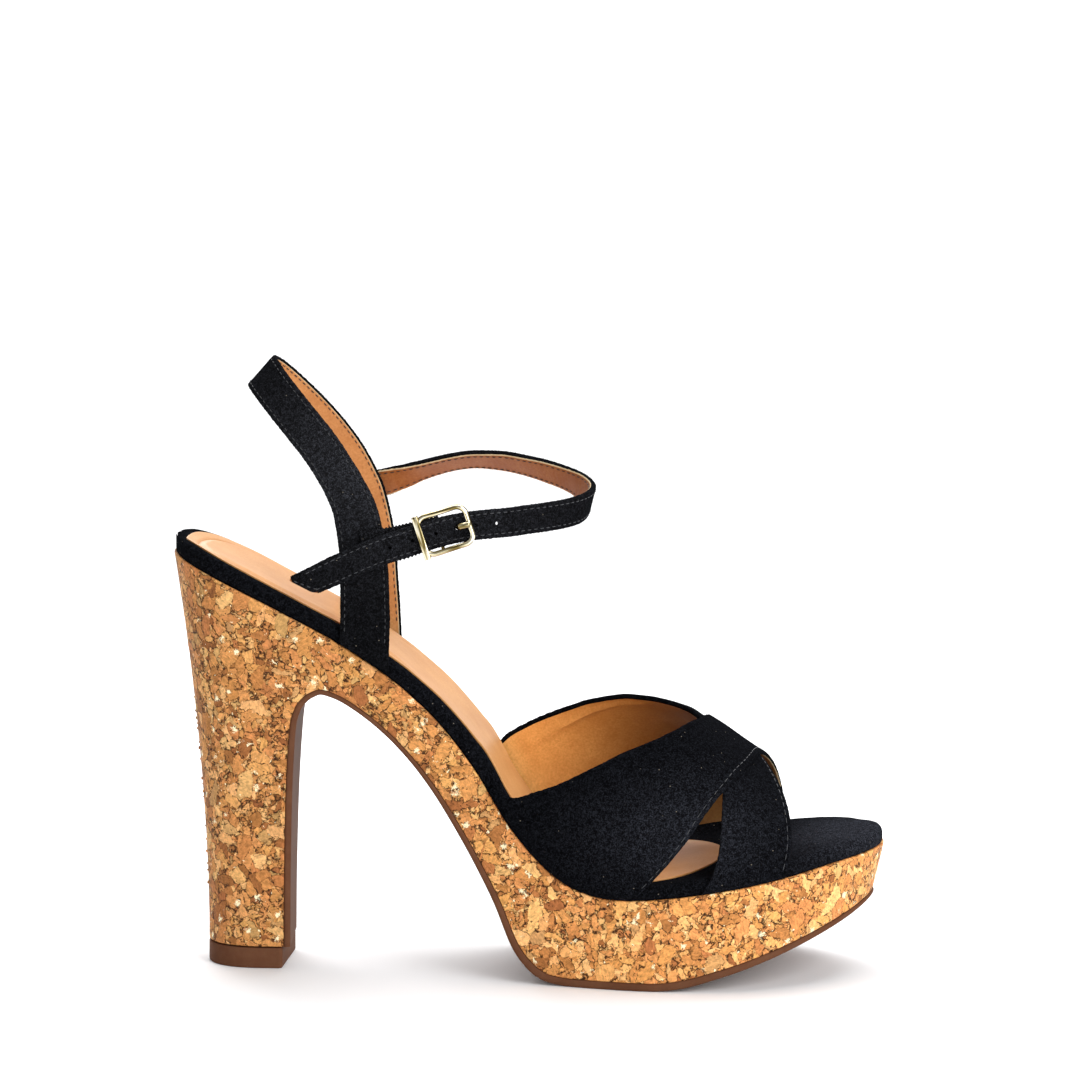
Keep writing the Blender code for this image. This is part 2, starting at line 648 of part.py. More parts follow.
def make_upper(collection, cutters):
    """The two crossed vamp straps, joined where one lies on the other."""
    over = loft(
        "upper",
        strap_rings(
            OVER_STRAP,
            lambda turn: STRAP_GAP + strap_lift(turn),
            lambda turn: STRAP_GAP + LEATHER + strap_lift(turn),
            37,
            9,
        ),
        SUEDE,
        collection,
    )
    under = loft(
        "upper_under_strap",
        strap_rings(
            UNDER_STRAP,
            lambda turn: STRAP_GAP + 0 * turn,
            lambda turn: STRAP_GAP + LEATHER + 0 * turn,
            37,
            9,
        ),
        SUEDE,
        cutters,
    )
    under.hide_render = True
    under.display_type = "WIRE"
    join = over.modifiers.new("join straps", "BOOLEAN")
    join.operation = "UNION"
    join.object = under
    return over


def ribbon_rings(centre, cross, out, width, thick):
    """Rings of a flat strap: centre line, unit cross and outward vectors, width and thickness."""
    half_cross = cross * (width / 2)[:, None]
    half_out = out * thick / 2
    inner_rear, inner_front = centre - half_cross - half_out, centre + half_cross - half_out
    outer_front, outer_rear = centre + half_cross + half_out, centre - half_cross + half_out
    return np.stack([inner_rear, inner_front, outer_front, outer_rear], axis=1)


def unit(vectors):
    """Rows scaled to length one."""
    return vectors / np.linalg.norm(vectors, axis=1)[:, None]


def make_back_strap(collection):
    """Strap from the lateral seam round the back of the ankle to the medial seam."""
    one = along(SLING, 4 * (len(SLING) - 1) + 1)
    lean = np.radians(one["lean"])
    halves = []
    for side, ahead in ((LATERAL, 0.0), (MEDIAL, 1.0)):
        shift = ahead * one["ahead"]
        halves.append(np.stack([
            one["x"] + shift * np.cos(lean),
            ANKLE_MID + side * one["spread"],
            one["z"] + shift * np.sin(lean),
        ], axis=1))
    path = np.concatenate([halves[0][::-1], halves[1][1:]])
    lean = np.concatenate([lean[::-1], lean[1:]])
    width = np.concatenate([one["width"][::-1], one["width"][1:]])
    cross = np.stack([np.cos(lean), np.zeros(len(lean)), np.sin(lean)], axis=1)
    tangent = unit(np.gradient(path, axis=0))
    out = unit(np.cross(tangent, cross))
    outward = np.sign(out[0] @ np.array([0, -1, 0]))
    return loft("back_strap", ribbon_rings(path, cross, out * outward, width, LEATHER), SUEDE, collection)


def make_ankle_strap(collection):
    """Strap from its free tip through the buckle and round the front of the ankle."""
    line = along(ANKLE, 3 * (len(ANKLE) - 1) + 1)
    path = np.stack([line["x"], line["y"], line["z"]], axis=1)
    tangent = unit(np.gradient(path, axis=0))
    level = unit(np.stack([tangent[:, 1], -tangent[:, 0], np.zeros(len(path))], axis=1))
    rise = unit(np.cross(level, tangent))
    rise *= np.sign(rise[:, 2])[:, None]
    lean = np.radians(line["lean"])[:, None]
    cross = rise * np.cos(lean) - level * np.sin(lean)
    out = level * np.cos(lean) + rise * np.sin(lean)
    narrow = TIP_NARROW + (1 - TIP_NARROW) * smoothstep(line["x"], ANKLE[0].x, ANKLE[2].x)
    narrow[len(path) // 2:] = 1.0
    rings = ribbon_rings(path, cross, out, ANKLE_WIDTH * narrow, ANKLE_THICK)
    slant = tangent[0] * TIP_SLANT / 2
    rings[0, (1, 2)] -= slant
    rings[0, (0, 3)] += slant
    return loft("ankle_strap", rings, SUEDE, collection)


def make_buckle_tab(collection):
    """Elastic tab from the quarter, folded round the buckle's hinge bar."""
    line = along(TAB, 9)
    lean = math.radians(BUCKLE_LEAN)
    hinge_y = BUCKLE_CENTRE[1] + HINGE_BACK
    fold = HINGE_WIRE / 2 + GAP + TAB_THICK / 2
    layer = np.stack([line["x"], np.full(9, hinge_y - fold), line["z"]], axis=1)
    turn = np.linspace(-math.pi / 2, math.pi / 2, 7)
    bend = np.stack([
        layer[-1, 0] + fold * np.cos(turn) * math.cos(lean),
        hinge_y + fold * np.sin(turn),
        layer[-1, 2] + fold * np.cos(turn) * math.sin(lean),
    ], axis=1)
    back = np.linspace(0, TAB_RETURN, 5)[1:]
    rear = np.stack([
        layer[-1, 0] - back * math.cos(lean),
        np.full(4, hinge_y + fold),
        layer[-1, 2] - back * math.sin(lean),
    ], axis=1)
    path = np.concatenate([layer[:-1], bend, rear])
    height = np.concatenate([line["height"][:-1], np.full(7 + 4, TAB[-1].height)])
    tangent = unit(np.gradient(path, axis=0))
    slope = np.arctan2(np.gradient(line["z"]), np.gradient(line["x"]))
    slope = np.concatenate([slope[:-1], np.full(7 + 4, lean)])
    cross = np.stack([-np.sin(slope), np.zeros(len(path)), np.cos(slope)], axis=1)
    out = unit(np.cross(tangent, cross))
    return loft("buckle_tab", ribbon_rings(path, cross, out, height, TAB_THICK), SUEDE, collection)


def buckle_point(forward, out, up):
    """A point of the leaning buckle's frame, as world millimetres."""
    lean = math.radians(BUCKLE_LEAN)
    return (
        BUCKLE_CENTRE[0] + forward * math.cos(lean) - up * math.sin(lean),
        BUCKLE_CENTRE[1] - out,
        BUCKLE_CENTRE[2] + forward * math.sin(lean) + up * math.cos(lean),
    )


def wire_object(name, points, radius, closed, collection):
    """A round wire along points, as a mesh."""
    curve = bpy.data.curves.new(name, "CURVE")
    curve.dimensions = "3D"
    curve.bevel_depth = radius * MM
    curve.bevel_resolution = 2
    curve.use_fill_caps = not closed
    spline = curve.splines.new("POLY")
    spline.points.add(len(points) - 1)
    for slot, point in zip(spline.points, points):
        slot.co = (*(value * MM for value in point), 1.0)
    spline.use_cyclic_u = closed
    guide = bpy.data.objects.new(name + "_guide", curve)
    collection.objects.link(guide)
    bpy.context.view_layer.update()
    graph = bpy.context.evaluated_depsgraph_get()
    bm = bmesh.new()
    bm.from_mesh(bpy.data.meshes.new_from_object(guide.evaluated_get(graph)))
    bpy.data.objects.remove(guide)
    return finish_mesh(name, bm, GOLD, collection)


def bar_object(name, size, at, collection):
    """A straight bar of the buckle: length, depth and height, and its place in the buckle's frame."""
    bm = bmesh.new()
    bmesh.ops.create_cube(bm, size=MM)
    bmesh.ops.scale(bm, verts=bm.verts, vec=size)
    made = finish_mesh(name, bm, GOLD, collection)
    made.location = [value * MM for value in buckle_point(*at)]
    made.rotation_euler = (0, -math.radians(BUCKLE_LEAN), 0)
    return made


def make_buckle(collection, cutters):
    """Round wire frame joined to its keeper and hinge bars, and the prong that rests on it."""
    corner_x = BUCKLE_LENGTH / 2 - BUCKLE_CORNER
    corner_z = BUCKLE_HEIGHT / 2 - BUCKLE_CORNER
    steps = 5
    loop = []
    for quarter, (sx, sz) in enumerate(((1, 1), (-1, 1), (-1, -1), (1, -1))):
        for k in range(steps + 1):
            turn = (quarter + k / steps) * math.pi / 2
            forward = sx * corner_x + BUCKLE_CORNER * math.cos(turn)
            up = sz * corner_z + BUCKLE_CORNER * math.sin(turn)
            loop.append(buckle_point(forward, 0, up))
    frame = wire_object("buckle_frame", loop, BUCKLE_WIRE / 2, True, collection)
    left = -BUCKLE_LENGTH / 2
    keeper = bar_object(
        "buckle_keeper_bar", (KEEPER_WIDTH, KEEPER_THICK, KEEPER_LENGTH), (left, 0, 0), cutters
    )
    hinge_x = left + HINGE_FORWARD
    hinge_path = [
        buckle_point(hinge_x, HINGE_BITE, HINGE_HIGH),
        buckle_point(hinge_x, -HINGE_BACK, HINGE_HIGH),
        buckle_point(hinge_x, -HINGE_BACK, -HINGE_HIGH),
        buckle_point(hinge_x, HINGE_BITE, -HINGE_HIGH),
    ]
    hinge = wire_object("buckle_hinge_bar", hinge_path, HINGE_WIRE / 2, False, cutters)
    for piece in (keeper, hinge):
        piece.hide_render = True
        piece.display_type = "WIRE"
        join = frame.modifiers.new("join " + piece.name, "BOOLEAN")
        join.operation = "UNION"
        join.object = piece
    prong = [buckle_point(PRONG_TIP - bend.behind, PRONG_OUT - bend.sunk, bend.up) for bend in PRONG]
    wire_object("buckle_prong", prong, PRONG_WIRE / 2, False, collection)


def main():
    """Clears the scene and makes the sandal."""
    for old in list(bpy.data.objects):
        bpy.data.objects.remove(old, do_unlink=True)
    sandal = bpy.data.collections.new("block_heel_sandal")
    cutters = bpy.data.collections.new("joining_shapes")
    bpy.context.scene.collection.children.link(sandal)
    bpy.context.scene.collection.children.link(cutters)
    make_platform_heel(sandal)
    make_outsole(sandal)
    make_top_piece(sandal)
    make_footbed(sandal)
    make_sock(sandal)
    make_upper(sandal, cutters)
    make_back_strap(sandal)
    make_ankle_strap(sandal)
    make_buckle_tab(sandal)
    make_buckle(sandal, cutters)


main()
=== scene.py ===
"""Looks of a black microsuede sandal on a cork platform with a block heel, for the right foot.

Tables and sizes are in millimetres; meshes, texture coordinates and patterns are in metres. +X points
to the toe, +Y to the inner (medial) side and +Z up, and the sandal stands on z = 0.
"""

import logging
import math
from dataclasses import dataclass, field
from enum import Enum
from functools import partial
from typing import Any, Callable, Sequence

import bmesh
import bpy
import numpy as np
from mathutils import Matrix

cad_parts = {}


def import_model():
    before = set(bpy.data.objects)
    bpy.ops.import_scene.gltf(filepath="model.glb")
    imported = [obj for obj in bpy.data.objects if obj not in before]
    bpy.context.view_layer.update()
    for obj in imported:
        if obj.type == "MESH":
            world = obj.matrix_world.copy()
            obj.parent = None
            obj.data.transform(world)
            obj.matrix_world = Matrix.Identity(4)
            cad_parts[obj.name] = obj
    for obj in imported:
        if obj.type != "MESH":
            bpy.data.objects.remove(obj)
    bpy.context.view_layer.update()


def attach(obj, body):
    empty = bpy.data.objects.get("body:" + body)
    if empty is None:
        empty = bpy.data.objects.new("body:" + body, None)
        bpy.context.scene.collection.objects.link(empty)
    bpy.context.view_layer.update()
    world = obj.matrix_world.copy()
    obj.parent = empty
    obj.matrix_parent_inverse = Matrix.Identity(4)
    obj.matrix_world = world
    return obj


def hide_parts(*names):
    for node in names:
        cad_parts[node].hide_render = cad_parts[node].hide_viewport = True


LOG = logging.getLogger("sandal")
MM = 0.001
WELD, DEGENERATE = 2e-6, 1e-7  # metres between points that are merged, and length of a lost edge
Array = np.ndarray
Adder = Callable[..., bpy.types.Node]


class Side(Enum):
    """Sides of the right foot, as the sign of Y."""

    LATERAL = -1
    MEDIAL = 1


@dataclass(frozen=True)
class Table:
    """Rows of named columns, read as smooth curves.

    Between two rows a column follows the cubic whose slopes at the rows are the central differences.
    """

    columns: str
    rows: tuple[tuple[float, ...], ...]

    def column(self, name: str) -> Array:
        """One column as an array."""
        return np.array([row[self.columns.split().index(name)] for row in self.rows], float)

    def at(self, name: str, where: Any) -> Array:
        """Column read against the first one.

        Args:
            name: The column.
            where: Values of the first column, clipped to the table's span.

        Returns:
            The column's smooth values there, in the shape of where.
        """
        return cubic(self.column(self.columns.split()[0]), self.column(name), where)

    def spread(self, count: int) -> dict[str, Array]:
        """All columns resampled at even steps of the row index."""
        rows = np.arange(len(self.rows), dtype=float)
        even = np.linspace(0, rows[-1], count)
        return {name: cubic(rows, self.column(name), even) for name in self.columns.split()}


def cubic(xs: Array, ys: Array, where: Any) -> Array:
    """Cubic Hermite curve through points, with central differences as slopes.

    Args:
        xs: Rising positions of the points.
        ys: Values at the points.
        where: Positions to read, clipped to the points' span.

    Returns:
        Values in the shape of where.
    """
    slopes = np.gradient(ys, xs)
    at = np.clip(np.asarray(where, float), xs[0], xs[-1])
    k = np.clip(np.searchsorted(xs, at, side="right") - 1, 0, len(xs) - 2)
    span = xs[k + 1] - xs[k]
    t = (at - xs[k]) / span
    return (
        ys[k] * (1 + 2 * t) * (1 - t) ** 2
        + slopes[k] * span * t * (1 - t) ** 2
        + ys[k + 1] * t**2 * (3 - 2 * t)
        + slopes[k + 1] * span * t**2 * (t - 1)
    )


def ease(value: Any, start: float, end: float) -> Array:
    """0 before start, 1 after end, and 3t^2 - 2t^3 between."""
    t = np.clip((np.asarray(value, float) - start) / (end - start), 0, 1)
    return t * t * (3 - 2 * t)


def unit(vectors: Array) -> Array:
    """Vectors scaled to length one along the last axis."""
    return vectors / np.maximum(np.linalg.norm(vectors, axis=-1, keepdims=True), 1e-12)


def arc_length(path: Array) -> Array:
    """Distance along a polyline at each of its points."""
    steps = np.linalg.norm(np.diff(path, axis=0), axis=1)
    return np.concatenate([[0.0], np.cumsum(steps)])


def ripple(seed: int, *coords: Array) -> Array:
    """Smooth noise, mostly in -1 to 1: 1.6 times the mean of eight seeded sine waves.

    Args:
        seed: Picks the waves.
        coords: Coordinates in units of the noise's size, all of one shape.

    Returns:
        The noise, in their shape.
    """
    draw, waves = np.random.default_rng(seed), 8
    total = np.zeros(np.broadcast(*coords).shape)
    for _ in range(waves):
        weights = draw.normal(size=len(coords)) * 2.4
        phase = draw.uniform(0, 2 * math.pi)
        total = total + np.sin(sum(w * c for w, c in zip(weights, coords)) + phase)
    return total / waves * 1.6


def bump_at(x: Array, centre: float, width: float) -> Array:
    """A soft ridge: exp(-((x - centre) / width)^2)."""
    return np.exp(-(((x - centre) / width) ** 2))


def join(*columns: Any) -> Array:
    """Arrays and numbers side by side along a new last axis, spread to one shape."""
    return np.stack(np.broadcast_arrays(*columns), axis=-1)


def circle(count: int) -> Array:
    """Evenly stepped angles round a circle, in radians."""
    return np.linspace(0, 2 * math.pi, count + 1)[:-1]


def read_along(values: Array, reach: Array, s: Array) -> Array:
    """Values or rows given at distances reach, read at distances s by straight interpolation."""
    if values.ndim == 1:
        return np.interp(s, reach, values)
    return np.stack([np.interp(s, reach, column) for column in values.T], axis=-1)


# --- Sizes shared by the pieces ---

# Plan of the cork's upper edge: middle line and half width at each station.
PLAN = Table("x mid half", (
    (-102.0, 0.0, 28.4), (-76.0, -0.2, 27.8), (-50.0, -0.8, 27.0), (-26.0, -2.0, 26.8),
    (-6.0, -3.2, 28.4), (12.0, -3.4, 32.6), (28.0, -2.8, 37.6), (42.0, -1.6, 40.2),
    (56.0, -0.2, 40.2), (72.0, 1.4, 38.6), (86.0, 2.6, 36.6), (102.0, 3.4, 34.4),
))
# Side line of the seam between the footbed and the cork.
SEAM = Table("x z", (
    (-102.0, 118.9), (-90.0, 113.7), (-78.0, 108.1), (-66.0, 102.0), (-54.0, 95.6), (-44.0, 89.3),
    (-34.0, 81.8), (-24.0, 72.2), (-14.0, 59.3), (-6.0, 46.4), (2.0, 36.6), (10.0, 29.8),
    (18.0, 26.5), (28.0, 25.5), (40.0, 26.4), (56.0, 28.6), (72.0, 31.3), (88.0, 34.5),
    (102.0, 36.4),
))
# Ribs of the cork wall: where each leaves the seam, and the lower edge that it runs down to.
RIBS = Table("seam_x foot_x foot_z half", (
    (-73.7, -69.7, 6.3, 15.3), (-72.7, -69.6, 26.0, 16.2), (-71.2, -69.1, 50.0, 18.6),
    (-68.8, -68.0, 69.0, 21.4), (-66.9, -66.5, 75.7, 22.7), (-64.6, -64.1, 79.2, 23.1),
    (-61.8, -61.1, 81.1, 23.4), (-58.4, -58.2, 81.6, 23.6), (-52.8, -52.8, 79.8, 24.0),
    (-47.2, -47.2, 76.5, 24.4), (-41.5, -41.5, 72.2, 24.7), (-35.9, -35.9, 67.0, 24.8),
    (-30.2, -30.2, 60.7, 25.0), (-24.5, -24.5, 53.1, 25.3), (-18.7, -18.7, 44.1, 25.9),
    (-13.0, -13.0, 34.4, 26.7), (-7.2, -7.2, 23.4, 27.8), (-2.0, -2.4, 12.3, 28.9),
    (2.0, 1.4, 6.9, 29.8), (6.0, 5.6, 3.7, 30.8), (11.0, 11.0, 2.5, 32.0), (18.0, 18.0, 2.3, 34.2),
    (28.0, 28.0, 2.3, 37.2), (37.0, 37.0, 2.4, 39.2), (45.0, 45.0, 3.5, 39.9),
    (54.0, 53.5, 5.8, 39.8),
))
# Thickness of the outsole, from the flap on the breast to the toe.
SOLE = Table("x thick", (
    (-70.5, 1.9), (-66.0, 1.8), (-58.0, 1.5), (-45.0, 1.35), (-30.0, 1.45), (-18.0, 1.7),
    (-7.0, 1.95), (4.0, 2.3), (25.0, 2.3), (45.0, 2.3), (60.0, 2.1), (76.0, 1.75), (90.0, 1.4),
    (99.0, 0.9),
))
# Height of the footbed's edge above the cork, and how far its middle lies below the edge.
BED = Table("x edge cup", (
    (-102.0, 6.4, 2.4), (-94.0, 6.0, 2.2), (-86.0, 5.5, 1.9), (-74.0, 5.0, 1.7), (-55.0, 4.8, 1.5),
    (-20.0, 4.8, 1.2), (-8.0, 4.9, 1.2), (8.0, 4.3, 0.7),
    (20.0, 4.2, 0.6), (55.0, 4.4, 0.3), (75.0, 4.5, -0.5), (102.0, 4.3, -0.5),
))
# Distance of the sock's edge from the footbed's.
SOCK_MARGIN = Table("x inset", (
    (-102.0, 3.4), (-40.0, 3.4), (0.0, 4.2), (30.0, 5.0), (60.0, 6.0),
))
# Height of the foot's crest above the seam.
CREST = Table("x height", (
    (-14.0, 56.7), (10.0, 55.4), (20.0, 53.6), (31.0, 50.9), (38.0, 48.6), (43.0, 46.6),
    (47.0, 44.5), (50.0, 42.0), (56.0, 37.2), (62.0, 32.0), (68.0, 27.0), (74.0, 23.0),
    (80.0, 20.5),
))
# Edges of the crossed straps: station at each angle round the foot, 0 at the lateral seam.
OVER_STRAP = Table("angle rear front", (
    (0.0, -11.2, 30.0), (2.0, -9.8, 32.5), (7.8, -3.9, 38.2), (16.5, 2.3, 44.5), (30.0, 12.6, 50.8),
    (43.5, 25.0, 56.4), (56.0, 37.5, 60.1), (64.0, 42.8, 62.2), (73.0, 46.7, 63.9),
    (90.0, 50.2, 66.0), (105.0, 52.2, 68.2), (125.0, 54.2, 71.2), (142.0, 53.9, 72.9),
    (152.0, 52.3, 73.8), (163.0, 48.6, 74.5), (172.0, 44.4, 74.0), (180.0, 41.0, 72.4),
))
UNDER_STRAP = Table("angle rear front", (
    (0.0, 49.0, 72.5), (3.2, 51.2, 73.0), (10.0, 53.3, 73.8), (20.5, 54.4, 74.4),
    (33.5, 54.8, 74.2), (47.0, 55.0, 73.3), (61.0, 54.4, 71.8), (73.0, 52.4, 70.0),
    (84.0, 49.0, 68.2), (94.0, 43.0, 66.0), (103.0, 32.0, 63.6), (112.0, 25.0, 61.4),
    (122.0, 18.0, 58.9), (133.0, 11.2, 55.6), (145.0, 4.4, 50.4), (157.0, -2.0, 43.4),
    (168.0, -7.4, 36.0), (175.0, -10.2, 30.6), (180.0, -12.0, 26.0),
))
# Back strap on one side, from the back of the ankle to the seam.
SLING = Table("x z spread lean width ahead", (
    (-77.0, 169.8, 0.0, 48.0, 11.4, 0.0), (-76.0, 168.7, 4.4, 46.0, 11.4, 0.3),
    (-73.4, 165.8, 8.8, 43.0, 11.2, 0.7), (-68.5, 160.4, 13.8, 41.0, 11.2, 0.9),
    (-63.8, 155.3, 17.6, 40.0, 11.2, 0.8), (-59.1, 150.0, 21.2, 38.0, 11.2, 0.4),
    (-54.9, 144.3, 24.2, 34.0, 11.2, 0.1), (-51.2, 138.2, 26.2, 25.0, 11.6, -0.5),
    (-48.5, 132.0, 27.0, 12.0, 12.4, -1.0), (-46.35, 120.2, 27.3, 2.0, 13.3, -1.0),
    (-45.75, 105.0, 27.6, 0.0, 13.8, -0.6), (-45.85, 96.5, 27.75, -14.0, 14.2, 0.2),
    (-46.0, 91.3, 27.75, -31.0, 15.8, 0.7),
))
# Centre line of the ankle strap, from its free tip to the medial quarter.
ANKLE = Table("x y z lean", (
    (-63.5, -31.7, 111.8, 0.0), (-58.5, -31.8, 114.2, 0.0), (-51.7, -31.9, 117.4, 0.0),
    (-43.0, -31.9, 121.3, 0.0), (-34.2, -31.9, 124.4, 0.0), (-25.5, -31.7, 127.2, 2.0),
    (-20.3, -31.4, 128.5, 3.0), (-16.0, -30.8, 129.2, 4.0), (-10.9, -29.7, 129.7, 5.0),
    (-5.7, -28.2, 130.1, 5.0), (-0.6, -26.2, 130.7, 4.0), (4.5, -23.6, 131.2, 2.0),
    (9.6, -19.8, 131.8, -1.0), (13.6, -15.2, 132.6, -6.0), (16.0, -8.6, 133.7, -13.0),
    (16.5, -1.6, 134.8, -13.0), (15.2, 3.8, 136.3, -2.0), (12.6, 7.6, 137.8, 13.0),
    (8.9, 11.2, 139.2, 25.0), (3.4, 15.0, 140.7, 32.0), (-2.0, 18.2, 141.8, 40.0),
    (-7.5, 20.9, 142.7, 45.0), (-13.0, 23.1, 143.0, 51.0), (-18.4, 24.8, 142.9, 55.0),
    (-23.9, 26.0, 142.0, 57.0), (-29.3, 26.9, 140.6, 55.0), (-34.8, 27.5, 138.8, 47.0),
    (-40.2, 28.1, 136.9, 29.0), (-45.5, 28.4, 135.3, 9.0), (-53.0, 28.4, 133.6, 0.0),
))
# Elastic tab, from the quarter to its fold round the hinge bar.
TAB = Table("x z height", (
    (-46.5, 122.4, 9.6), (-41.0, 123.2, 9.6), (-36.0, 124.2, 9.6), (-31.0, 125.7, 9.0),
    (-25.53, 127.35, 8.2),
))

BACK, TIP = -102.0, 102.0
HEEL_ROUND, HEEL_FULLNESS = 26.0, 2.3  # length and exponent of the rounded seat
TOE_ROUND, TOE_FULLNESS = 48.0, 2.1
FOOT_FULLNESS, FOOT_LIFT = 2.2, 0.1  # exponent of the foot's sections, and their rise off the seam
BAND_INSET = 0.5  # how far the footbed's side stands in from the cork's
HEEL_FOOT_Z = 6.3


def mid_line(x: Array) -> Array:
    """Position of the sole's middle line at a station."""
    return PLAN.at("mid", x)


def rounding(x: Array, inset: Any = 0.0) -> Array:
    """Share of the half width left at a station by the rounded seat and toe.

    Each end is a superellipse quarter: (1 - d^n)^(1/n), d being the way from its start to its tip.
    """
    heel = np.clip((BACK + HEEL_ROUND - x) / (HEEL_ROUND - inset), 0, 1)
    toe = np.clip((x - TIP + TOE_ROUND) / (TOE_ROUND - inset), 0, 1)
    seat = (1 - heel**HEEL_FULLNESS) ** (1 / HEEL_FULLNESS)
    return seat * (1 - toe**TOE_FULLNESS) ** (1 / TOE_FULLNESS)


def half_width(x: Array, inset: Any = 0.0) -> Array:
    """Half width of the plan at a station, drawn in by inset all round."""
    return (PLAN.at("half", x) - inset) * rounding(x, inset)


def seam_z(x: Array) -> Array:
    """Height of the seam between the footbed and the cork."""
    return SEAM.at("z", x)


def upright(x: Array) -> Array:
    """Rise that stands for one millimetre square to the seam: sqrt(1 + slope^2)."""
    step = 0.5
    slope = (seam_z(x + step) - seam_z(x - step)) / (2 * step)
    return np.sqrt(1 + slope**2)


def bed_points(x: Array, across: Array, height: Array) -> Array:
    """Points on the footbed's own frame: station, position across, height square to the seam."""
    return join(x, mid_line(x) + across, seam_z(x) + upright(x) * height)


def bed_top(x: Array, share: Array) -> Array:
    """Height of the footbed's top above the seam: a parabola across, share being -1 to 1.

    Beside the ball of the foot its medial edge rises by another 3 mm over the last tenth.
    """
    ball = 3.0 * ease(x, 5, 35) * (1 - ease(x, 58, 80)) * ease(share, 0.9, 1)
    return BED.at("edge", x) - BED.at("cup", x) * (1 - np.clip(share, -1, 1) ** 2) + ball


def ovals(back: float, seat: Array, front: float, toe: Array, fullness: float,
          counts: tuple[int, int, int]) -> tuple[Array, Array]:
    """Stations and width shares of nested outlines with a rounded seat and toe.

    An end follows cos(phi)^(2/n) from its tip to its full width, its share being sin(phi)^(2/n), with
    evenly stepped stations between the ends, so that a row keeps its share of the way in every outline.

    Args:
        back: Station where the seat begins.
        seat: Length of the seat in each outline, one value a column.
        front: Station where the toe begins.
        toe: Length of the toe in each outline.
        fullness: Exponent n of the toe.
        counts: Rows in the seat, between, and in the toe.

    Returns:
        Two arrays of rows by columns: station, and share of the full width.
    """
    seat_phi = np.linspace(0, math.pi / 2, counts[0])[:, None]
    toe_phi = np.linspace(math.pi / 2, 0, counts[2])[:, None]
    seat_x = back - seat * np.cos(seat_phi) ** (2 / HEEL_FULLNESS)
    toe_x = front + toe * np.cos(toe_phi) ** (2 / fullness)
    between = np.linspace(0, 1, counts[1] + 2)[1:-1, None]
    x = np.concatenate([seat_x, seat_x[-1:] + (toe_x[:1] - seat_x[-1:]) * between, toe_x])
    share = [np.sin(seat_phi) ** (2 / HEEL_FULLNESS), np.ones((counts[1], 1)),
             np.sin(toe_phi) ** (2 / fullness)]
    return x, np.concatenate(share)


def last_points(x: Array, angle: Array, offset: Array) -> Array:
    """Points on the foot's surface, moved out by offset.

    A section is a superellipse: its width goes with cos(angle)^(2/n) and its height with
    sin(angle)^(2/n), angle running from 0 at the lateral seam to 180 at the medial one.

    Args:
        x: Stations.
        angle: Angles in degrees.
        offset: How far out each point is moved.

    Returns:
        The points.
    """
    cosine, sine = np.cos(np.radians(angle)), np.sin(np.radians(angle))
    power = 2 / FOOT_FULLNESS
    half = half_width(x) - BAND_INSET + offset
    height = CREST.at("height", x) + offset
    across = -np.sign(cosine) * np.abs(cosine) ** power * half
    return join(x, mid_line(x) + across, seam_z(x) + FOOT_LIFT + np.abs(sine) ** power * height)


# --- Meshes ---


@dataclass
class Grid:
    """A grid of points, closed on itself across its columns.

    Attributes:
        points: Rows by columns by 3, in millimetres.
        flat: Rows by columns + 1 by 2, the texture coordinates in millimetres.
        finish: Slot of each column's faces.
        caps: Whether the first and the last row are closed by a face.
    """

    points: Array
    flat: Array
    finish: Array
    caps: tuple[bool, bool] = (True, True)


def grid_faces(grid: Grid, first: int) -> tuple[list[Array], list[Array], list[Array]]:
    """Vertex indices, texture coordinates and slots of a grid's faces, quads first and then caps.

    Args:
        grid: The grid.
        first: Number of its first point.

    Returns:
        Three lists, each with one array for the quads and one for each cap.
    """
    rows, cols, _ = grid.points.shape
    i, j = np.meshgrid(np.arange(rows - 1), np.arange(cols), indexing="ij")
    k = (j + 1) % cols
    quads = join(i * cols + j, (i + 1) * cols + j, (i + 1) * cols + k, i * cols + k)
    flats = np.stack([
        grid.flat[i, j], grid.flat[i + 1, j], grid.flat[i + 1, j + 1], grid.flat[i, j + 1],
    ], axis=2)
    loops = [quads.reshape(-1) + first]
    coords = [flats.reshape(-1, 2)]
    slots = [np.broadcast_to(grid.finish, (rows - 1, cols)).reshape(-1)]
    for wanted, row, step in ((grid.caps[0], 0, 1), (grid.caps[1], rows - 1, -1)):
        if wanted:
            ring = np.arange(cols)[::step]
            loops.append(row * cols + ring + first)
            coords.append(grid.flat[row, ring])
            slots.append(grid.finish[:1])
    return loops, coords, slots


def fill(name: str, points: Array, corners: Array, sizes: Array,
         finishes: Sequence[bpy.types.Material]) -> bpy.types.Mesh:
    """A mesh from arrays.

    Args:
        name: Its name.
        points: Its points in millimetres.
        corners: Number of the point at each corner of each face in turn.
        sizes: How many corners each face has.
        finishes: Materials by slot.

    Returns:
        The mesh, whose edges are still to be worked out.
    """
    mesh = bpy.data.meshes.new(name)
    mesh.vertices.add(len(points))
    mesh.vertices.foreach_set("co", (points * MM).reshape(-1))
    mesh.loops.add(len(corners))
    mesh.loops.foreach_set("vertex_index", corners.astype(np.int32))
    mesh.polygons.add(len(sizes))
    mesh.polygons.foreach_set("loop_start", (np.cumsum(sizes) - sizes).astype(np.int32))
    for finish in finishes:
        mesh.materials.append(finish)
    return mesh


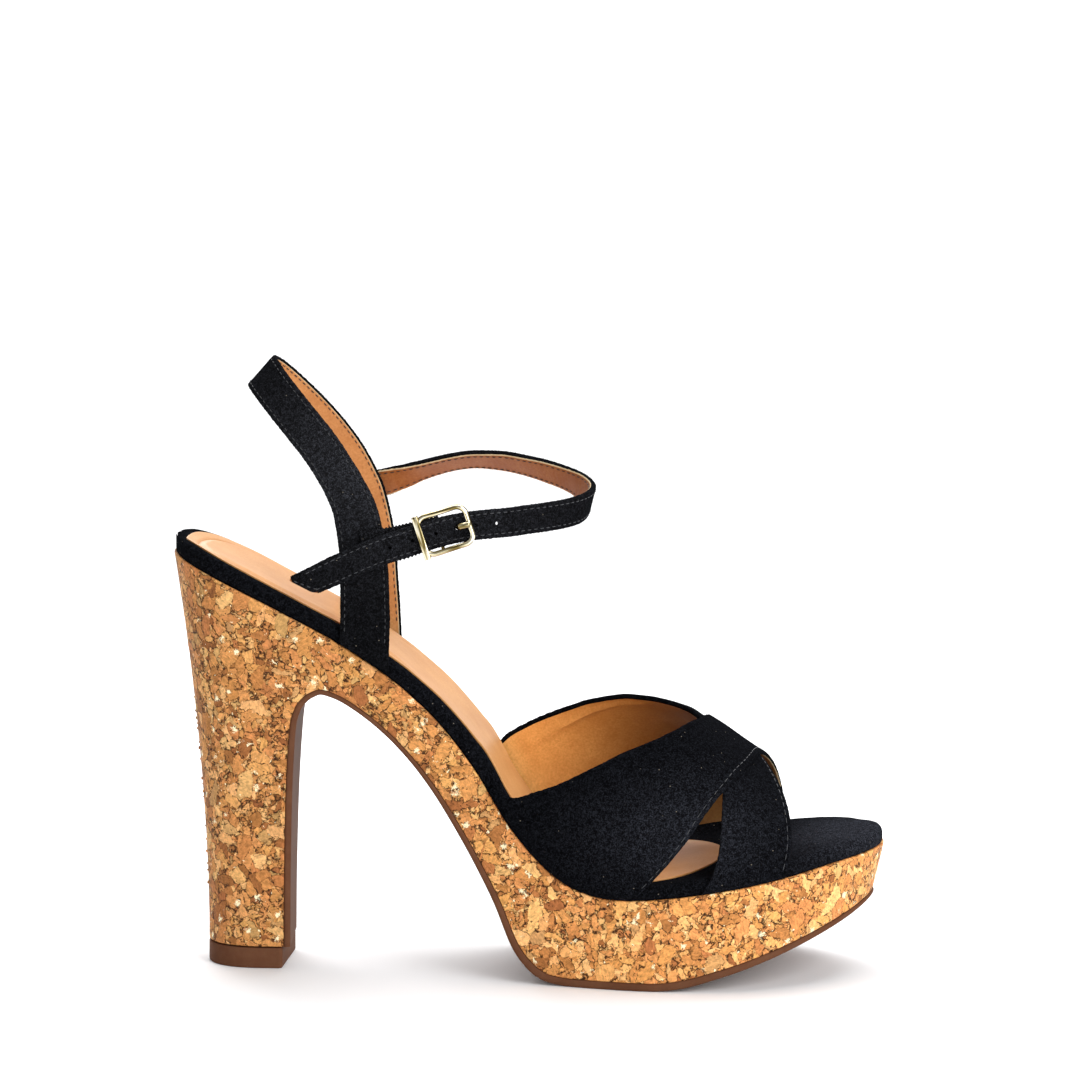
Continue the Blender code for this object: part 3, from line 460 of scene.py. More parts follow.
def build(name: str, grids: Sequence[Grid], finishes: Sequence[bpy.types.Material], sharp: float = 50.0,
          weld: bool = True) -> bpy.types.Object:
    """A closed smooth mesh from grids, at the origin, with a texture map named flat.

    Args:
        name: Name of the piece.
        grids: Its grids, each a closed body of its own.
        finishes: Materials by slot.
        sharp: Angle in degrees past which an edge stays sharp.
        weld: Whether points that meet, as at a pole, are merged.

    Returns:
        The object, linked into the scene and riding on the sandal's one body.
    """
    points, loops, coords, slots, sizes = [], [], [], [], []
    first = 0
    for grid in grids:
        quads, flats, kinds = grid_faces(grid, first)
        points.append(grid.points.reshape(-1, 3))
        sizes.append(np.full(len(quads[0]) // 4, 4))
        sizes.extend(np.array([len(cap)]) for cap in quads[1:])
        loops.extend(quads)
        coords.extend(flats)
        slots.extend(kinds)
        first += len(points[-1])
    mesh = fill(name, np.concatenate(points), np.concatenate(loops), np.concatenate(sizes), finishes)
    mesh.polygons.foreach_set("material_index", np.concatenate(slots).astype(np.int32))
    flat = mesh.uv_layers.new(name="flat")
    flat.data.foreach_set("uv", (np.concatenate(coords) * MM).reshape(-1).astype(np.float32))
    mesh.update(calc_edges=True)
    mesh.validate()
    tidy_mesh(mesh, weld)
    mesh.shade_smooth()
    mesh.set_sharp_from_angle(angle=math.radians(sharp))
    return ride(bpy.data.objects.new(name, mesh))


def tidy_mesh(mesh: bpy.types.Mesh, weld: bool) -> None:
    """Merges points that meet and turns each closed body's faces outwards.

    Args:
        mesh: The mesh, changed in place.
        weld: Whether points that meet are merged.
    """
    work = bmesh.new()
    work.from_mesh(mesh)
    if weld:
        bmesh.ops.remove_doubles(work, verts=work.verts, dist=WELD)
        bmesh.ops.dissolve_degenerate(work, edges=work.edges, dist=DEGENERATE)
    bmesh.ops.recalc_face_normals(work, faces=work.faces)
    if work.calc_volume(signed=True) < 0:
        bmesh.ops.reverse_faces(work, faces=work.faces)
    work.to_mesh(mesh)
    work.free()


def ride(piece: bpy.types.Object) -> bpy.types.Object:
    """Links a piece into the scene and lets it ride on the sandal's one body."""
    bpy.context.scene.collection.objects.link(piece)
    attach(piece, "root")
    LOG.info("%s: %d faces", piece.name, len(piece.data.polygons))
    return piece


@dataclass(frozen=True)
class Band:
    """Cross-section of a strap, from its outer face round its edges to its lining.

    Attributes:
        thick: Thickness.
        round_edge: Radius of the edges.
        across: Faces across each side.
        turn: Faces round each edge.
        dark_edge: Share of an edge, from the outer face, that has the outer face's finish.
        fold: Columns at each side of the lining that have it too, before one with the cut edge's.
        fray: Length of the nap's tufts at the edges.
    """

    thick: float
    round_edge: float = 0.45
    across: int = 24
    turn: int = 6
    dark_edge: float = 1.0
    fold: int = 0
    fray: float = 0.16

    def ring(self) -> tuple[Array, Array, Array, Array]:
        """The section's points as share across (-1 to 1), inset from the edge, depth and finish.

        The faces are straight and the edges are half turns: inset r(1 - cos), depth r sin.

        Returns:
            Four arrays with a value for each column.
        """
        flat = np.linspace(-1, 1, self.across + 1)
        turn = np.linspace(-math.pi / 2, math.pi / 2, self.turn + 2)[1:-1]
        bulge = self.round_edge * (1 - np.cos(turn))
        height = self.thick * (0.5 + 0.5 * np.sin(turn))
        share = np.concatenate([flat, np.ones(self.turn), flat[::-1], -np.ones(self.turn)])
        inset = np.concatenate([
            np.full(len(flat), self.round_edge), bulge, np.full(len(flat), self.round_edge), bulge,
        ])
        depth = np.concatenate([
            np.zeros(len(flat)), height, np.full(len(flat), self.thick), height[::-1],
        ])
        edge_middle = np.linspace(0, 1, self.turn + 1)
        up = np.where(edge_middle < 1 - self.dark_edge - 1e-6, 2, 0)
        lined = np.arange(self.across)
        lined = np.minimum(lined, self.across - 1 - lined) - self.fold
        lined = np.where(lined < 0, 0, np.where((lined == 0) & (self.fold > 0), 2, 1))
        finish = np.concatenate([lined, up, np.full(self.across, 0), up[::-1]])
        return share, inset, depth, finish

    def frayed(self, inset: Array, rows: int, seed: int) -> Array:
        """The insets of all rows, less tufts of random length r^3 * fray along both edges."""
        tufts = self.fray * np.random.default_rng(seed).random((rows, len(inset))) ** 3
        edge = (inset < self.round_edge - 1e-6)[None, :]
        return inset[None, :] - tufts * edge


@dataclass
class Ribbon:
    """A strap's route: centre line, cross and outward directions and width, finely stepped.

    A point is centre + cross * (share * width / 2 - its inset) + out * (depth - thick / 2), read at a
    distance along the route.
    """

    centre: Array
    cross: Array
    out: Array
    width: Array
    reach: Array = field(init=False)

    def __post_init__(self) -> None:
        """Works out the distance along the route."""
        self.reach = arc_length(self.centre)

    def read(self, values: Array, s: Array) -> Array:
        """Values along the route at distances s, by straight interpolation."""
        return read_along(values, self.reach, s)

    def points(self, s: Array, share: Array, inset: Array, depth: Array) -> Array:
        """Points of the strap; depth is measured from its middle.

        Args:
            s: Distances along the route.
            share: Shares of the way across, -1 to 1.
            inset: How far in from the edge.
            depth: How far out from the middle.

        Returns:
            The points.
        """
        s, share, inset, depth = np.broadcast_arrays(s, share, inset, depth)
        sideways = share * (self.read(self.width, s) / 2 - inset)
        return (
            self.read(self.centre, s)
            + unit(self.read(self.cross, s)) * sideways[..., None]
            + unit(self.read(self.out, s)) * depth[..., None]
        )

    def grid(self, band: Band, s: Array, relief: Callable[[Array, Array], Array] | None = None) -> Grid:
        """The strap as a closed grid.

        Args:
            band: Its cross-section.
            s: Distances along the route, rows, or rows by columns of the section.
            relief: How far the strap stands out, by distance and position across.

        Returns:
            The grid, with distance along and round the section as texture coordinates.
        """
        share, inset, depth, finish = band.ring()
        s = s[:, None] if s.ndim == 1 else s
        s = np.broadcast_to(s, (len(s), len(share)))
        lift = depth[None, :] - band.thick / 2
        if relief is not None:
            lift = lift + relief(s, share[None, :] * self.read(self.width, s) / 2)
        made = self.points(s, share[None, :], band.frayed(inset, len(s), len(s)), lift)
        flat = section_map(made, s)
        return Grid(made, flat, finish)

    def line(self, s: Array, from_edge: float, side: int, depth: float) -> tuple[Array, Array]:
        """A line on the strap for stitches: points, and the outward direction times depth's sign.

        Args:
            s: Distances along the route.
            from_edge: How far in the line lies.
            side: 1 or -1, for the edge.
            depth: How far out from the middle, below 0 on the lining.

        Returns:
            The line's points, and the directions away from the strap there.
        """
        half = self.read(self.width, s) / 2
        cross, out = unit(self.read(self.cross, s)), unit(self.read(self.out, s))
        sideways = side * (half - from_edge)
        points = self.read(self.centre, s) + cross * sideways[:, None] + out * depth
        return points, out * math.copysign(1.0, depth)


def section_map(points: Array, along: Array) -> Array:
    """Texture coordinates of a closed grid: along as given, and the mean distance round a section.

    Args:
        points: Rows by columns by 3.
        along: Distance along at each point.

    Returns:
        Rows by columns + 1 by 2.
    """
    ring = np.concatenate([points, points[:, :1]], axis=1)
    step = np.linalg.norm(np.diff(ring, axis=1), axis=2).mean(axis=0)
    around = np.concatenate([[0.0], np.cumsum(step)])
    along = np.concatenate([along, along[:, :1]], axis=1)
    return np.stack([along, np.broadcast_to(around, along.shape)], axis=-1)


def surface_map(points: Array) -> Array:
    """Texture coordinates of a grid closed across its columns: mean distances along and round it."""
    along = arc_length(points.mean(axis=1))
    return section_map(points, np.broadcast_to(along[:, None], points.shape[:2]))


def solid(points: Array, caps: tuple[bool, bool] = (True, True)) -> Grid:
    """A grid in one finish, with its texture coordinates worked out."""
    return Grid(points, surface_map(points), np.zeros(points.shape[1], int), caps)


def threads(path: Array, out: Array, pitch: float, length: float, radius: float, proud: float) -> Array:
    """Stitches along a line: spindles that dive in at both ends.

    Along a stitch t runs from 0 to 1: its middle rises by proud * sin(pi t), its radius is
    radius * sin(pi t)^0.35, and its section is a circle of six points.

    Args:
        path: Points of the line, finely stepped.
        out: Outward directions there.
        pitch: Distance from stitch to stitch.
        length: Length of a stitch.
        radius: Radius of the thread.
        proud: Rise of a stitch's middle above its ends.

    Returns:
        Array of stitches by 7 by 6 by 3.
    """
    reach = arc_length(path)
    count = max(1, int((reach[-1] - length) / pitch) + 1)
    start = np.arange(count) * pitch + (reach[-1] - (count - 1) * pitch - length) / 2
    t = np.linspace(0, 1, 7)
    s = start[:, None] + length * t[None, :]
    centre, normal = read_along(path, reach, s), unit(read_along(out, reach, s))
    ahead = unit(np.gradient(centre, axis=1))
    side = unit(np.cross(ahead, normal))
    arch = np.sin(math.pi * t)
    centre = centre + normal * (proud * (arch - 0.5))[None, :, None]
    turn = circle(6)
    thick = radius * np.maximum(arch, 1e-3) ** 0.35
    ring = np.cos(turn)[None, None, :, None] * side[:, :, None, :]
    ring = ring + np.sin(turn)[None, None, :, None] * normal[:, :, None, :]
    return centre[:, :, None, :] + ring * thick[None, :, None, None]


def stitch_piece(name: str, stitches: Sequence[Array], finish: bpy.types.Material) -> bpy.types.Object:
    """One piece of many stitches, each a closed spindle.

    Args:
        name: Name of the piece.
        stitches: Stitches as threads gives them.
        finish: The thread.

    Returns:
        The piece.
    """
    rings = np.concatenate(stitches)
    count, rows, cols, _ = rings.shape
    i, j = np.meshgrid(np.arange(rows - 1), np.arange(cols), indexing="ij")
    k = (j + 1) % cols
    quads = join(i * cols + j, i * cols + k, (i + 1) * cols + k, (i + 1) * cols + j).reshape(-1)
    first = (np.arange(count) * rows * cols)[:, None]
    ends = [np.arange(cols)[::-1], (rows - 1) * cols + np.arange(cols)]
    corners = np.concatenate([(first + face).reshape(-1) for face in (quads, *ends)])
    sizes = np.repeat([4, cols], [count * len(quads) // 4, 2 * count])
    mesh = fill(name, rings.reshape(-1, 3), corners, sizes, [finish])
    mesh.update(calc_edges=True)
    tidy_mesh(mesh, False)
    mesh.shade_smooth()
    return ride(bpy.data.objects.new(name, mesh))


# --- Finishes ---


def linear(code: str) -> tuple[float, float, float, float]:
    """An sRGB hex colour as a linear RGBA colour."""
    values = [int(code[i:i + 2], 16) / 255 for i in (1, 3, 5)]
    red, green, blue = (v / 12.92 if v <= 0.04045 else ((v + 0.055) / 1.055) ** 2.4 for v in values)
    return red, green, blue, 1.0


def per(size: float) -> float:
    """Scale of a pattern from the size of its cells in millimetres."""
    return 1 / (size * MM)


def connect(node: bpy.types.Node, links: dict[Any, Any]) -> None:
    """Sets a node's inputs by name or number.

    Args:
        node: The node.
        links: For each input a socket to link, a node whose first output is linked, or a value.
    """
    for key, value in links.items():
        value = value.outputs[0] if isinstance(value, bpy.types.Node) else value
        if isinstance(value, bpy.types.NodeSocket):
            node.id_data.links.new(value, node.inputs[key])
        else:
            node.inputs[key].default_value = value


def add_node(tree: bpy.types.NodeTree, kind: str, links: dict[Any, Any] | None = None,
             stops: Sequence[tuple[float, str]] = (), **settings: Any) -> bpy.types.Node:
    """Adds a node with its settings, inputs and colour stops.

    Args:
        tree: The node tree.
        kind: The node's type, less ShaderNode.
        links: Its inputs, as connect takes them.
        stops: Positions and hex colours of a colour ramp.
        settings: The node's properties.

    Returns:
        The node.
    """
    made = tree.nodes.new("ShaderNode" + kind)
    for key, value in settings.items():
        setattr(made, key, value)
    connect(made, links or {})
    for number, (place, colour) in enumerate(stops):
        ramp = made.color_ramp.elements
        stop = ramp[number] if number < 2 else ramp.new(place)
        stop.position, stop.color = place, linear(colour)
    return made


def start(name: str, roughness: float, metallic: float = 0.0,
          **sockets: Any) -> tuple[bpy.types.Material, Adder, bpy.types.Node]:
    """A new material, add_node for its tree, and its Principled shader with its constants set.

    Args:
        name: Name of the material.
        roughness: Its roughness.
        metallic: 1 for a metal.
        sockets: Other constants of the shader, with _ for a space.

    Returns:
        The material, the function that adds nodes to it, and the shader.
    """
    made = bpy.data.materials.new(name)
    made.use_nodes = True
    shader = made.node_tree.nodes["Principled BSDF"]
    constants = {key.replace("_", " "): value for key, value in sockets.items()}
    connect(shader, {"Roughness": roughness, "Metallic": metallic} | constants)
    return made, partial(add_node, made.node_tree), shader


@dataclass(frozen=True)
class Microsuede:
    """Black microsuede: a knitted polyester base sanded to a short nap.

    It gives the eye a near-black surface with wormy clumps of nap under a millimetre across and a few
    specks of lint. In an ellipsoid given by its middle and its radii in mm, light is painted in: the
    colour there is lighter, a painted pool of light where the light falls.
    """

    name: str
    deep: str
    lit: str
    # middle and radii in mm of the ellipsoid where a pool of light is painted
    painted_light_patch: tuple[tuple[float, float, float], tuple[float, float, float]]
    low: float  # painted brightness far from the painted pool of light
    high: float  # painted brightness at its middle, a painted highlight
    clump: float = 0.75  # mm across a clump of nap
    fibre: float = 0.3  # mm, fibre ends
    lint: float = 3.4  # mm between specks of lint
    speck: float = 0.17  # mm, radius of a speck

    def make(self) -> bpy.types.Material:
        """Builds the material.

        Returns:
            The material.
        """
        made, add, shader = start(self.name, 1.0, Specular_IOR_Level=0.0, Sheen_Weight=0.02,
                                   Sheen_Roughness=0.5, Sheen_Tint=linear("#A0A4B0"))
        place = add("TexCoord").outputs["Object"]
        clumps = add("TexNoise", {
            "Vector": place, "Scale": per(self.clump), "Roughness": 0.6, "Distortion": 1.2,
        })
        ends = add("TexNoise", {
            "Vector": place, "Scale": per(self.fibre), "Detail": 1.0, "Roughness": 0.7,
            "Distortion": 0.8,
        })
        nap = add("Math", {0: clumps, 1: ends}, operation="MULTIPLY")
        tone = add("ValToRGB", {"Fac": nap}, [(0.21, self.deep), (0.38, self.lit)])
        specks = add("TexVoronoi", {"Vector": place, "Scale": per(self.lint)})
        near = add("Math", {0: specks, 1: self.speck / self.lint}, operation="LESS_THAN")
        # Painted light: the tone is brightened inside the ellipsoid, from low at its rim to high at its
        # middle.
        middle, radii = (tuple(value * MM for value in row) for row in self.painted_light_patch)
        laid = add("Mapping", {"Vector": place, "Location": middle, "Scale": radii},
                   vector_type="TEXTURE")
        ball = add("TexGradient", {"Vector": laid}, gradient_type="QUADRATIC_SPHERE")
        bright = add("MapRange", {
            "Value": ball.outputs["Fac"], "From Max": 0.6, "To Min": self.low, "To Max": self.high,
        })
        shade = add("HueSaturation", {"Value": bright, "Color": tone})
        colour = add("MixRGB", {"Fac": near, "Color1": shade, "Color2": linear("#6E675C")})
        height = add("Bump", {"Strength": 1.0, "Distance": 0.5 * MM, "Height": nap})
        connect(shader, {"Base Color": colour, "Normal": height})
        return made


@dataclass(frozen=True)
class CoatedLining:
    """Tan coated lining or sock: polyurethane on a knitted back, smooth with a fine pebble.

    It gives the eye a warm tan, nearly matt surface that is a little paler where it is stretched.
    """

    name: str
    base: str
    pale: str
    grain: float = 0.35  # mm across a pebble
    roughness: float = 0.5
    painted_light_and_shade: tuple[float, float] | None = None  # brightness at the rear of the forefoot and at its front: painted light at the rear, painted shade towards the toe

    def make(self) -> bpy.types.Material:
        """Builds the material.

        Returns:
            The material.
        """
        made, add, shader = start(self.name, self.roughness, Specular_IOR_Level=0.35)
        place = add("TexCoord").outputs["Object"]
        broad = add("TexNoise", {"Vector": place, "Scale": per(9), "Detail": 4.0, "Roughness": 0.6})
        mottle = add("TexNoise", {"Vector": place, "Scale": per(0.6)})
        pebble = add("TexVoronoi", {"Vector": place, "Scale": per(self.grain)})
        blend = add("Math", {0: broad, 1: mottle}, operation="MULTIPLY")
        tone = add("ValToRGB", {"Fac": blend}, [(0.12, self.base), (0.42, self.pale)])
        # Painted light and shade: the tone is brightened at the rear of the forefoot and darkened towards
        # its front.
        if self.painted_light_and_shade:
            bright = add("MapRange", {
                "Value": add("SeparateXYZ", {"Vector": place}), "From Min": -2 * MM,
                "From Max": 46 * MM, "To Min": self.painted_light_and_shade[0], "To Max": self.painted_light_and_shade[1],
            })
            tone = add("HueSaturation", {"Value": bright, "Color": tone})
        height = add("Bump", {"Strength": 0.25, "Distance": 0.05 * MM, "Height": pebble})
        connect(shader, {"Base Color": tone, "Normal": height})
        return made


@dataclass(frozen=True)
class Thread:
    """Bonded nylon sewing thread, twisted, with a dull gloss along each stitch."""

    name: str
    colour: str

    def make(self) -> bpy.types.Material:
        """Builds the material.

        Returns:
            The material.
        """
        made, add, shader = start(self.name, 0.55, Sheen_Weight=0.15)
        place = add("TexCoord").outputs["Object"]
        twist = add("TexNoise", {"Vector": place, "Scale": per(0.25)})
        bright = add("MapRange", {"Value": twist, "To Min": 0.7, "To Max": 1.35})
        tone = add("HueSaturation", {"Value": bright, "Color": linear(self.colour)})
        connect(shader, {"Base Color": tone})
        return made


@dataclass(frozen=True)
class MouldedRubber:
    """Brown thermoplastic rubber, moulded, with a satin skin and a fine pebble from the mould."""

    name: str = "brown_moulded_rubber"
    colour: str = "#5F3D2B"
    dusty: str = "#6C4935"

    def make(self) -> bpy.types.Material:
        """Builds the material.

        Returns:
            The material.
        """
        made, add, shader = start(self.name, 0.6, Specular_IOR_Level=0.02)
        place = add("TexCoord").outputs["Object"]
        broad = add("TexNoise", {"Vector": place, "Scale": per(6), "Detail": 5.0, "Roughness": 0.7})
        pebble = add("TexNoise", {"Vector": place, "Scale": per(0.5)})
        tone = add("ValToRGB", {"Fac": broad}, [(0.35, self.colour), (0.75, self.dusty)])
        gloss = add("MapRange", {"Value": broad, "To Min": 0.48, "To Max": 0.62})
        height = add("Bump", {"Strength": 0.3, "Distance": 0.06 * MM, "Height": pebble})
        connect(shader, {"Base Color": tone, "Roughness": gloss, "Normal": height})
        return made


@dataclass(frozen=True)
class PlatedZinc:
    """Zinc casting, polished and plated pale gold under a clear lacquer.

    It gives the eye a pale cream gold with narrow olive streaks of painted reflection along its wires.
    """

    name: str = "pale_gold_plated_zinc"
    colour: str = "#E3D6AC"
    # The olive and the bright colour are painted dark reflection and painted highlight.
    painted_dark_reflection: str = "#7A6A3A"
    bright: str = "#FFF7DE"
    reflection_streak: tuple[float, float] = (7, 0.75)  # mm, length and width of a painted reflection streak

    def make(self) -> bpy.types.Material:
        """Builds the material.

        Returns:
            The material.
        """
        made, add, shader = start(self.name, 0.14, 1.0, Specular_Tint=linear("#3A2A10"))
        along = add("Mapping", {
            "Vector": add("TexCoord").outputs["UV"], "Scale": (*map(per, self.reflection_streak), 1.0),
        })
        # Painted reflections: streaks along the wires, from olive painted dark reflection to near-white
        # painted highlight.
        painted_reflections = add("TexNoise", {"Vector": along, "Scale": 1.0, "Detail": 0.0})
        tone = add("ValToRGB", {"Fac": painted_reflections},
                   [(0.38, self.painted_dark_reflection), (0.5, self.colour), (0.62, self.bright)])
        gloss = add("MapRange", {"Value": painted_reflections, "To Min": 0.1, "To Max": 0.2})
        connect(shader, {"Base Color": tone, "Roughness": gloss})
        return made


@dataclass(frozen=True)
class ChipLayer:
    """One layer of cork chips: its size, how they lie, how many show and how long they are."""

    size: float  # mm across a chip
    turn: float  # degrees by which the chips lean
    stretch: tuple[float, float, float]  # how long a chip is along its own axes
    keep: float  # share of its chips that lie on top of the layers below


@dataclass(frozen=True)
class Blots:
    """Blots round scattered points, all over or only in patches."""

    between: float  # mm between points
    share: float  # how many of the points have a blot
    radius: float  # mm across half a blot
    torn: float = 0.0  # mm, how far its outline is torn
    patch: float = 0.0  # mm across the patches, 0 for blots all over
    level: float = 0.5  # a patch is where their noise is above this


@dataclass(frozen=True)
class PressedCork:
    """Sheet of pressed cork granules with flakes of gold foil, sanded and sealed.

    It gives the eye angular, overlapping chips from one to six millimetres long in shades from
    straw to chestnut, each with its own grain, dark crevices and pores between them, and bright scraps
    of foil in clusters. The layers of chips are laid one on another, so that a large chip hides
    parts of smaller ones.
    """

    name: str = "pressed_cork_with_gold_foil"
    layers: tuple[ChipLayer, ...] = (
        ChipLayer(1.5, 20.0, (1.1, 1.0, 0.9), 1.0),
        ChipLayer(2.2, -40.0, (1.5, 1.0, 0.85), 0.6),
        ChipLayer(2.9, 66.0, (1.5, 1.0, 0.8), 0.45),
        ChipLayer(3.6, 12.0, (1.35, 1.0, 0.8), 0.3),
        ChipLayer(4.6, -68.0, (1.5, 1.0, 0.75), 0.2),
    )
    shades: tuple[tuple[float, str], ...] = (
        (0.0, "#8A5424"), (0.12, "#A66A30"), (0.26, "#BC7C3A"), (0.42, "#CB8B45"), (0.56, "#C0803C"),
        (0.72, "#D4984F"), (0.88, "#E2AE68"), (0.97, "#B98B4E"),
    )
    crevice: str = "#331C0D"
    foil: str = "#FFF3C8"
    scraps: Blots = Blots(4.2, 0.55, 0.72, torn=0.95, patch=8.0, level=0.47)
    flecks: Blots = Blots(1.4, 0.3, 0.24, torn=0.16, patch=5.0, level=0.53)
    pits: Blots = Blots(0.95, 0.4, 0.24, patch=4.0, level=0.53)
    pores: Blots = Blots(3.1, 0.3, 0.36)

    def lay(self, add: Adder, place: Any, layer: ChipLayer, number: int) -> tuple[Any, Any]:
        """One layer of chips.

        Args:
            add: Adds a node to the material.
            place: Position, already made ragged.
            layer: What the chips are like.
            number: Shifts the pattern from the other layers'.

        Returns:
            The chips' random colours, and the distance to a chip's edge in mm.
        """
        turned = add("Mapping", {
            "Vector": place, "Rotation": (0.0, math.radians(layer.turn), 0.0),
            "Location": (0.013 * number, 0.007 * number, 0.019 * number), "Scale": layer.stretch,
        }, vector_type="TEXTURE")
        links = {"Vector": turned, "Scale": per(layer.size)}
        chips = add("TexVoronoi", links)
        edges = add("TexVoronoi", links, feature="DISTANCE_TO_EDGE")
        return chips.outputs["Color"], add("Math", {0: edges, 1: layer.size}, operation="MULTIPLY")

    def chips(self, add: Adder, place: Any) -> tuple[Any, Any]:
        """All layers, each over the last where its own chips are kept.

        Args:
            add: Adds a node to the material.
            place: Position, already made ragged.

        Returns:
            The topmost chips' random colours and the distance to their edges.
        """
        colour, edge = self.lay(add, place, self.layers[0], 0)
        for number, layer in enumerate(self.layers[1:], 1):
            over, over_edge = self.lay(add, place, layer, number)
            chance = add("SeparateColor", {"Color": over}).outputs["Blue"]
            kept = add("Math", {0: chance, 1: layer.keep}, operation="LESS_THAN")
            colour = add("MixRGB", {"Fac": kept, "Color1": colour, "Color2": over})
            edge = add("Mix", {"Factor": kept, "A": edge, "B": over_edge})
        return colour, edge

    def shifted(self, add: Adder, place: Any, scale: float, reach: float) -> Any:
        """A position pushed about by noise: its scale and its reach in mm.

        Args:
            add: Adds a node to the material.
            place: Position.
            scale: Millimetres across the noise.
            reach: Millimetres that it pushes.

        Returns:
            The new position.
        """
        noise = add("TexNoise", {"Vector": place, "Scale": per(scale), "Roughness": 0.6})
        middle = add("VectorMath", {0: noise.outputs["Color"], 1: (0.5, 0.5, 0.5)},
                     operation="SUBTRACT")
        push = add("VectorMath", {0: middle, "Scale": reach * MM}, operation="SCALE")
        return add("VectorMath", {0: place, 1: push})

    def grain(self, add: Adder, place: Any, chance: Any) -> Any:
        """The chips' own grain: streaks 0.5 mm wide and 1.7 mm long, turned chip by chip."""
        turn = add("Math", {0: chance, 1: 6.0}, operation="MULTIPLY")
        turned = add("VectorRotate", {"Vector": place, "Angle": turn}, rotation_type="Y_AXIS")
        laid = add("Mapping", {"Vector": turned, "Scale": (1.0, 1.0, 0.3)})
        return add("TexNoise", {"Vector": laid, "Scale": per(0.5), "Detail": 3.0, "Roughness": 0.7})

    def scattered(self, add: Adder, place: Any, ragged: Any, blots: Blots) -> Any:
        """Blots round scattered points.

        Args:
            add: Adds a node to the material.
            place: Position, for the patches.
            ragged: Position pushed about, which gives ragged blots.
            blots: What they are like.

        Returns:
            1 in a blot and 0 elsewhere.
        """
        points = add("TexVoronoi", {"Vector": ragged, "Scale": per(blots.between)})
        away = points
        if blots.torn:
            tear = add("TexNoise", {
                "Vector": ragged, "Scale": per(0.55), "Detail": 3.0, "Roughness": 0.8,
            })
            away = add("Math", {0: tear, 1: 4 * blots.torn / blots.between, 2: points},
                       operation="MULTIPLY_ADD")
        limit = (blots.radius + 2 * blots.torn) / blots.between
        near = add("Math", {0: away, 1: limit}, operation="LESS_THAN")
        chance = add("SeparateColor", {"Color": points.outputs["Color"]}).outputs["Green"]
        some = add("Math", {0: chance, 1: blots.share}, operation="LESS_THAN")
        shown = add("Math", {0: near, 1: some}, operation="MULTIPLY")
        if blots.patch:
            patch = add("TexNoise", {"Vector": place, "Scale": per(blots.patch), "Detail": 1.0})
            inside = add("Math", {0: patch, 1: blots.level}, operation="GREATER_THAN")
            shown = add("Math", {0: shown, 1: inside}, operation="MULTIPLY")
        return shown

    def foils(self, add: Adder, place: Any) -> Any:
        """Where foil shows: torn scraps, and small flecks in clusters round them."""
        torn = self.shifted(add, place, 1.6, 2.4)
        scraps = self.scattered(add, place, torn, self.scraps)
        flecks = self.scattered(add, place, torn, self.flecks)
        return add("Math", {0: scraps, 1: flecks}, operation="MAXIMUM")

    def crevices(self, add: Adder, place: Any, edge: Any) -> Any:
        """Dark gaps along the chips' edges, wide in places and closed in others, and pores.

        Args:
            add: Adds a node to the material.
            place: Position.
            edge: Distance to a chip's edge in mm.

        Returns:
            1 in a gap and 0 on a chip.
        """
        fissure = add("TexNoise", {"Vector": place, "Scale": per(1.5), "Detail": 3.0, "Roughness": 0.7})
        width = add("MapRange", {
            "Value": fissure, "From Min": 0.42, "From Max": 0.68, "To Min": 0.02, "To Max": 0.56,
        })
        gap = add("MapRange", {"Value": edge, "From Max": width, "To Min": 1.0, "To Max": 0.0},
                  interpolation_type="SMOOTHSTEP")
        ragged = self.shifted(add, place, 0.5, 0.7)
        pits = self.scattered(add, place, ragged, self.pits)
        pores = self.scattered(add, place, ragged, self.pores)
        both = add("Math", {0: pits, 1: pores}, operation="MAXIMUM")
        deep = add("Math", {0: both, 1: 0.85}, operation="MULTIPLY")
        return add("Math", {0: gap, 1: deep}, operation="MAXIMUM")

    def make(self) -> bpy.types.Material:
        """Builds the material: shades from straw to chestnut, and painted light towards the toe.

        Returns:
            The material.
        """
        made, add, shader = start(self.name, 0.6, Specular_IOR_Level=0.12)
        place = add("TexCoord").outputs["Object"]
        torn = self.shifted(add, self.shifted(add, place, 3.4, 2.4), 0.8, 1.1)
        colours, edge = self.chips(add, torn)
        parts = add("SeparateColor", {"Color": colours}).outputs
        shade = add("ValToRGB", {"Fac": parts["Red"]}, self.shades)
        grain = self.grain(add, place, parts["Green"])
        mottle = add("TexNoise", {"Vector": torn, "Scale": per(1.1), "Detail": 3.0, "Roughness": 0.65})
        both = add("Math", {0: grain, 1: mottle})
        # Painted light: the chips are brightened towards the toe, standing in for the stronger light on
        # the platform.
        front = add("MapRange", {
            "Value": add("SeparateXYZ", {"Vector": place}), "From Min": -60 * MM,
            "From Max": 30 * MM, "To Min": 1.06, "To Max": 1.36,
        })
        own = add("MapRange", {
            "Value": both, "From Min": 0.7, "From Max": 1.3, "To Min": 0.54, "To Max": 1.4,
        })
        toned = add("HueSaturation", {
            "Hue": add("MapRange", {"Value": parts["Green"], "To Min": 0.4915, "To Max": 0.5025}),
            "Saturation": 0.96, "Value": add("Math", {0: front, 1: own}, operation="MULTIPLY"),
            "Color": shade,
        })
        dark = self.crevices(add, place, edge)
        browned = add("MixRGB", {"Fac": dark, "Color1": toned, "Color2": linear(self.crevice)})
        foil = self.foils(add, place)
        colour = add("MixRGB", {"Fac": foil, "Color1": browned, "Color2": linear(self.foil)})
        gloss = add("MapRange", {"Value": foil, "To Min": 0.6, "To Max": 0.3})
        level = add("Math", {0: parts["Green"], 1: dark}, operation="SUBTRACT")
        rough = add("Math", {0: level, 1: both})
        height = add("Bump", {"Strength": 0.7, "Distance": 0.22 * MM, "Height": rough})
        connect(shader, {"Base Color": colour, "Roughness": gloss, "Normal": height})
        return made


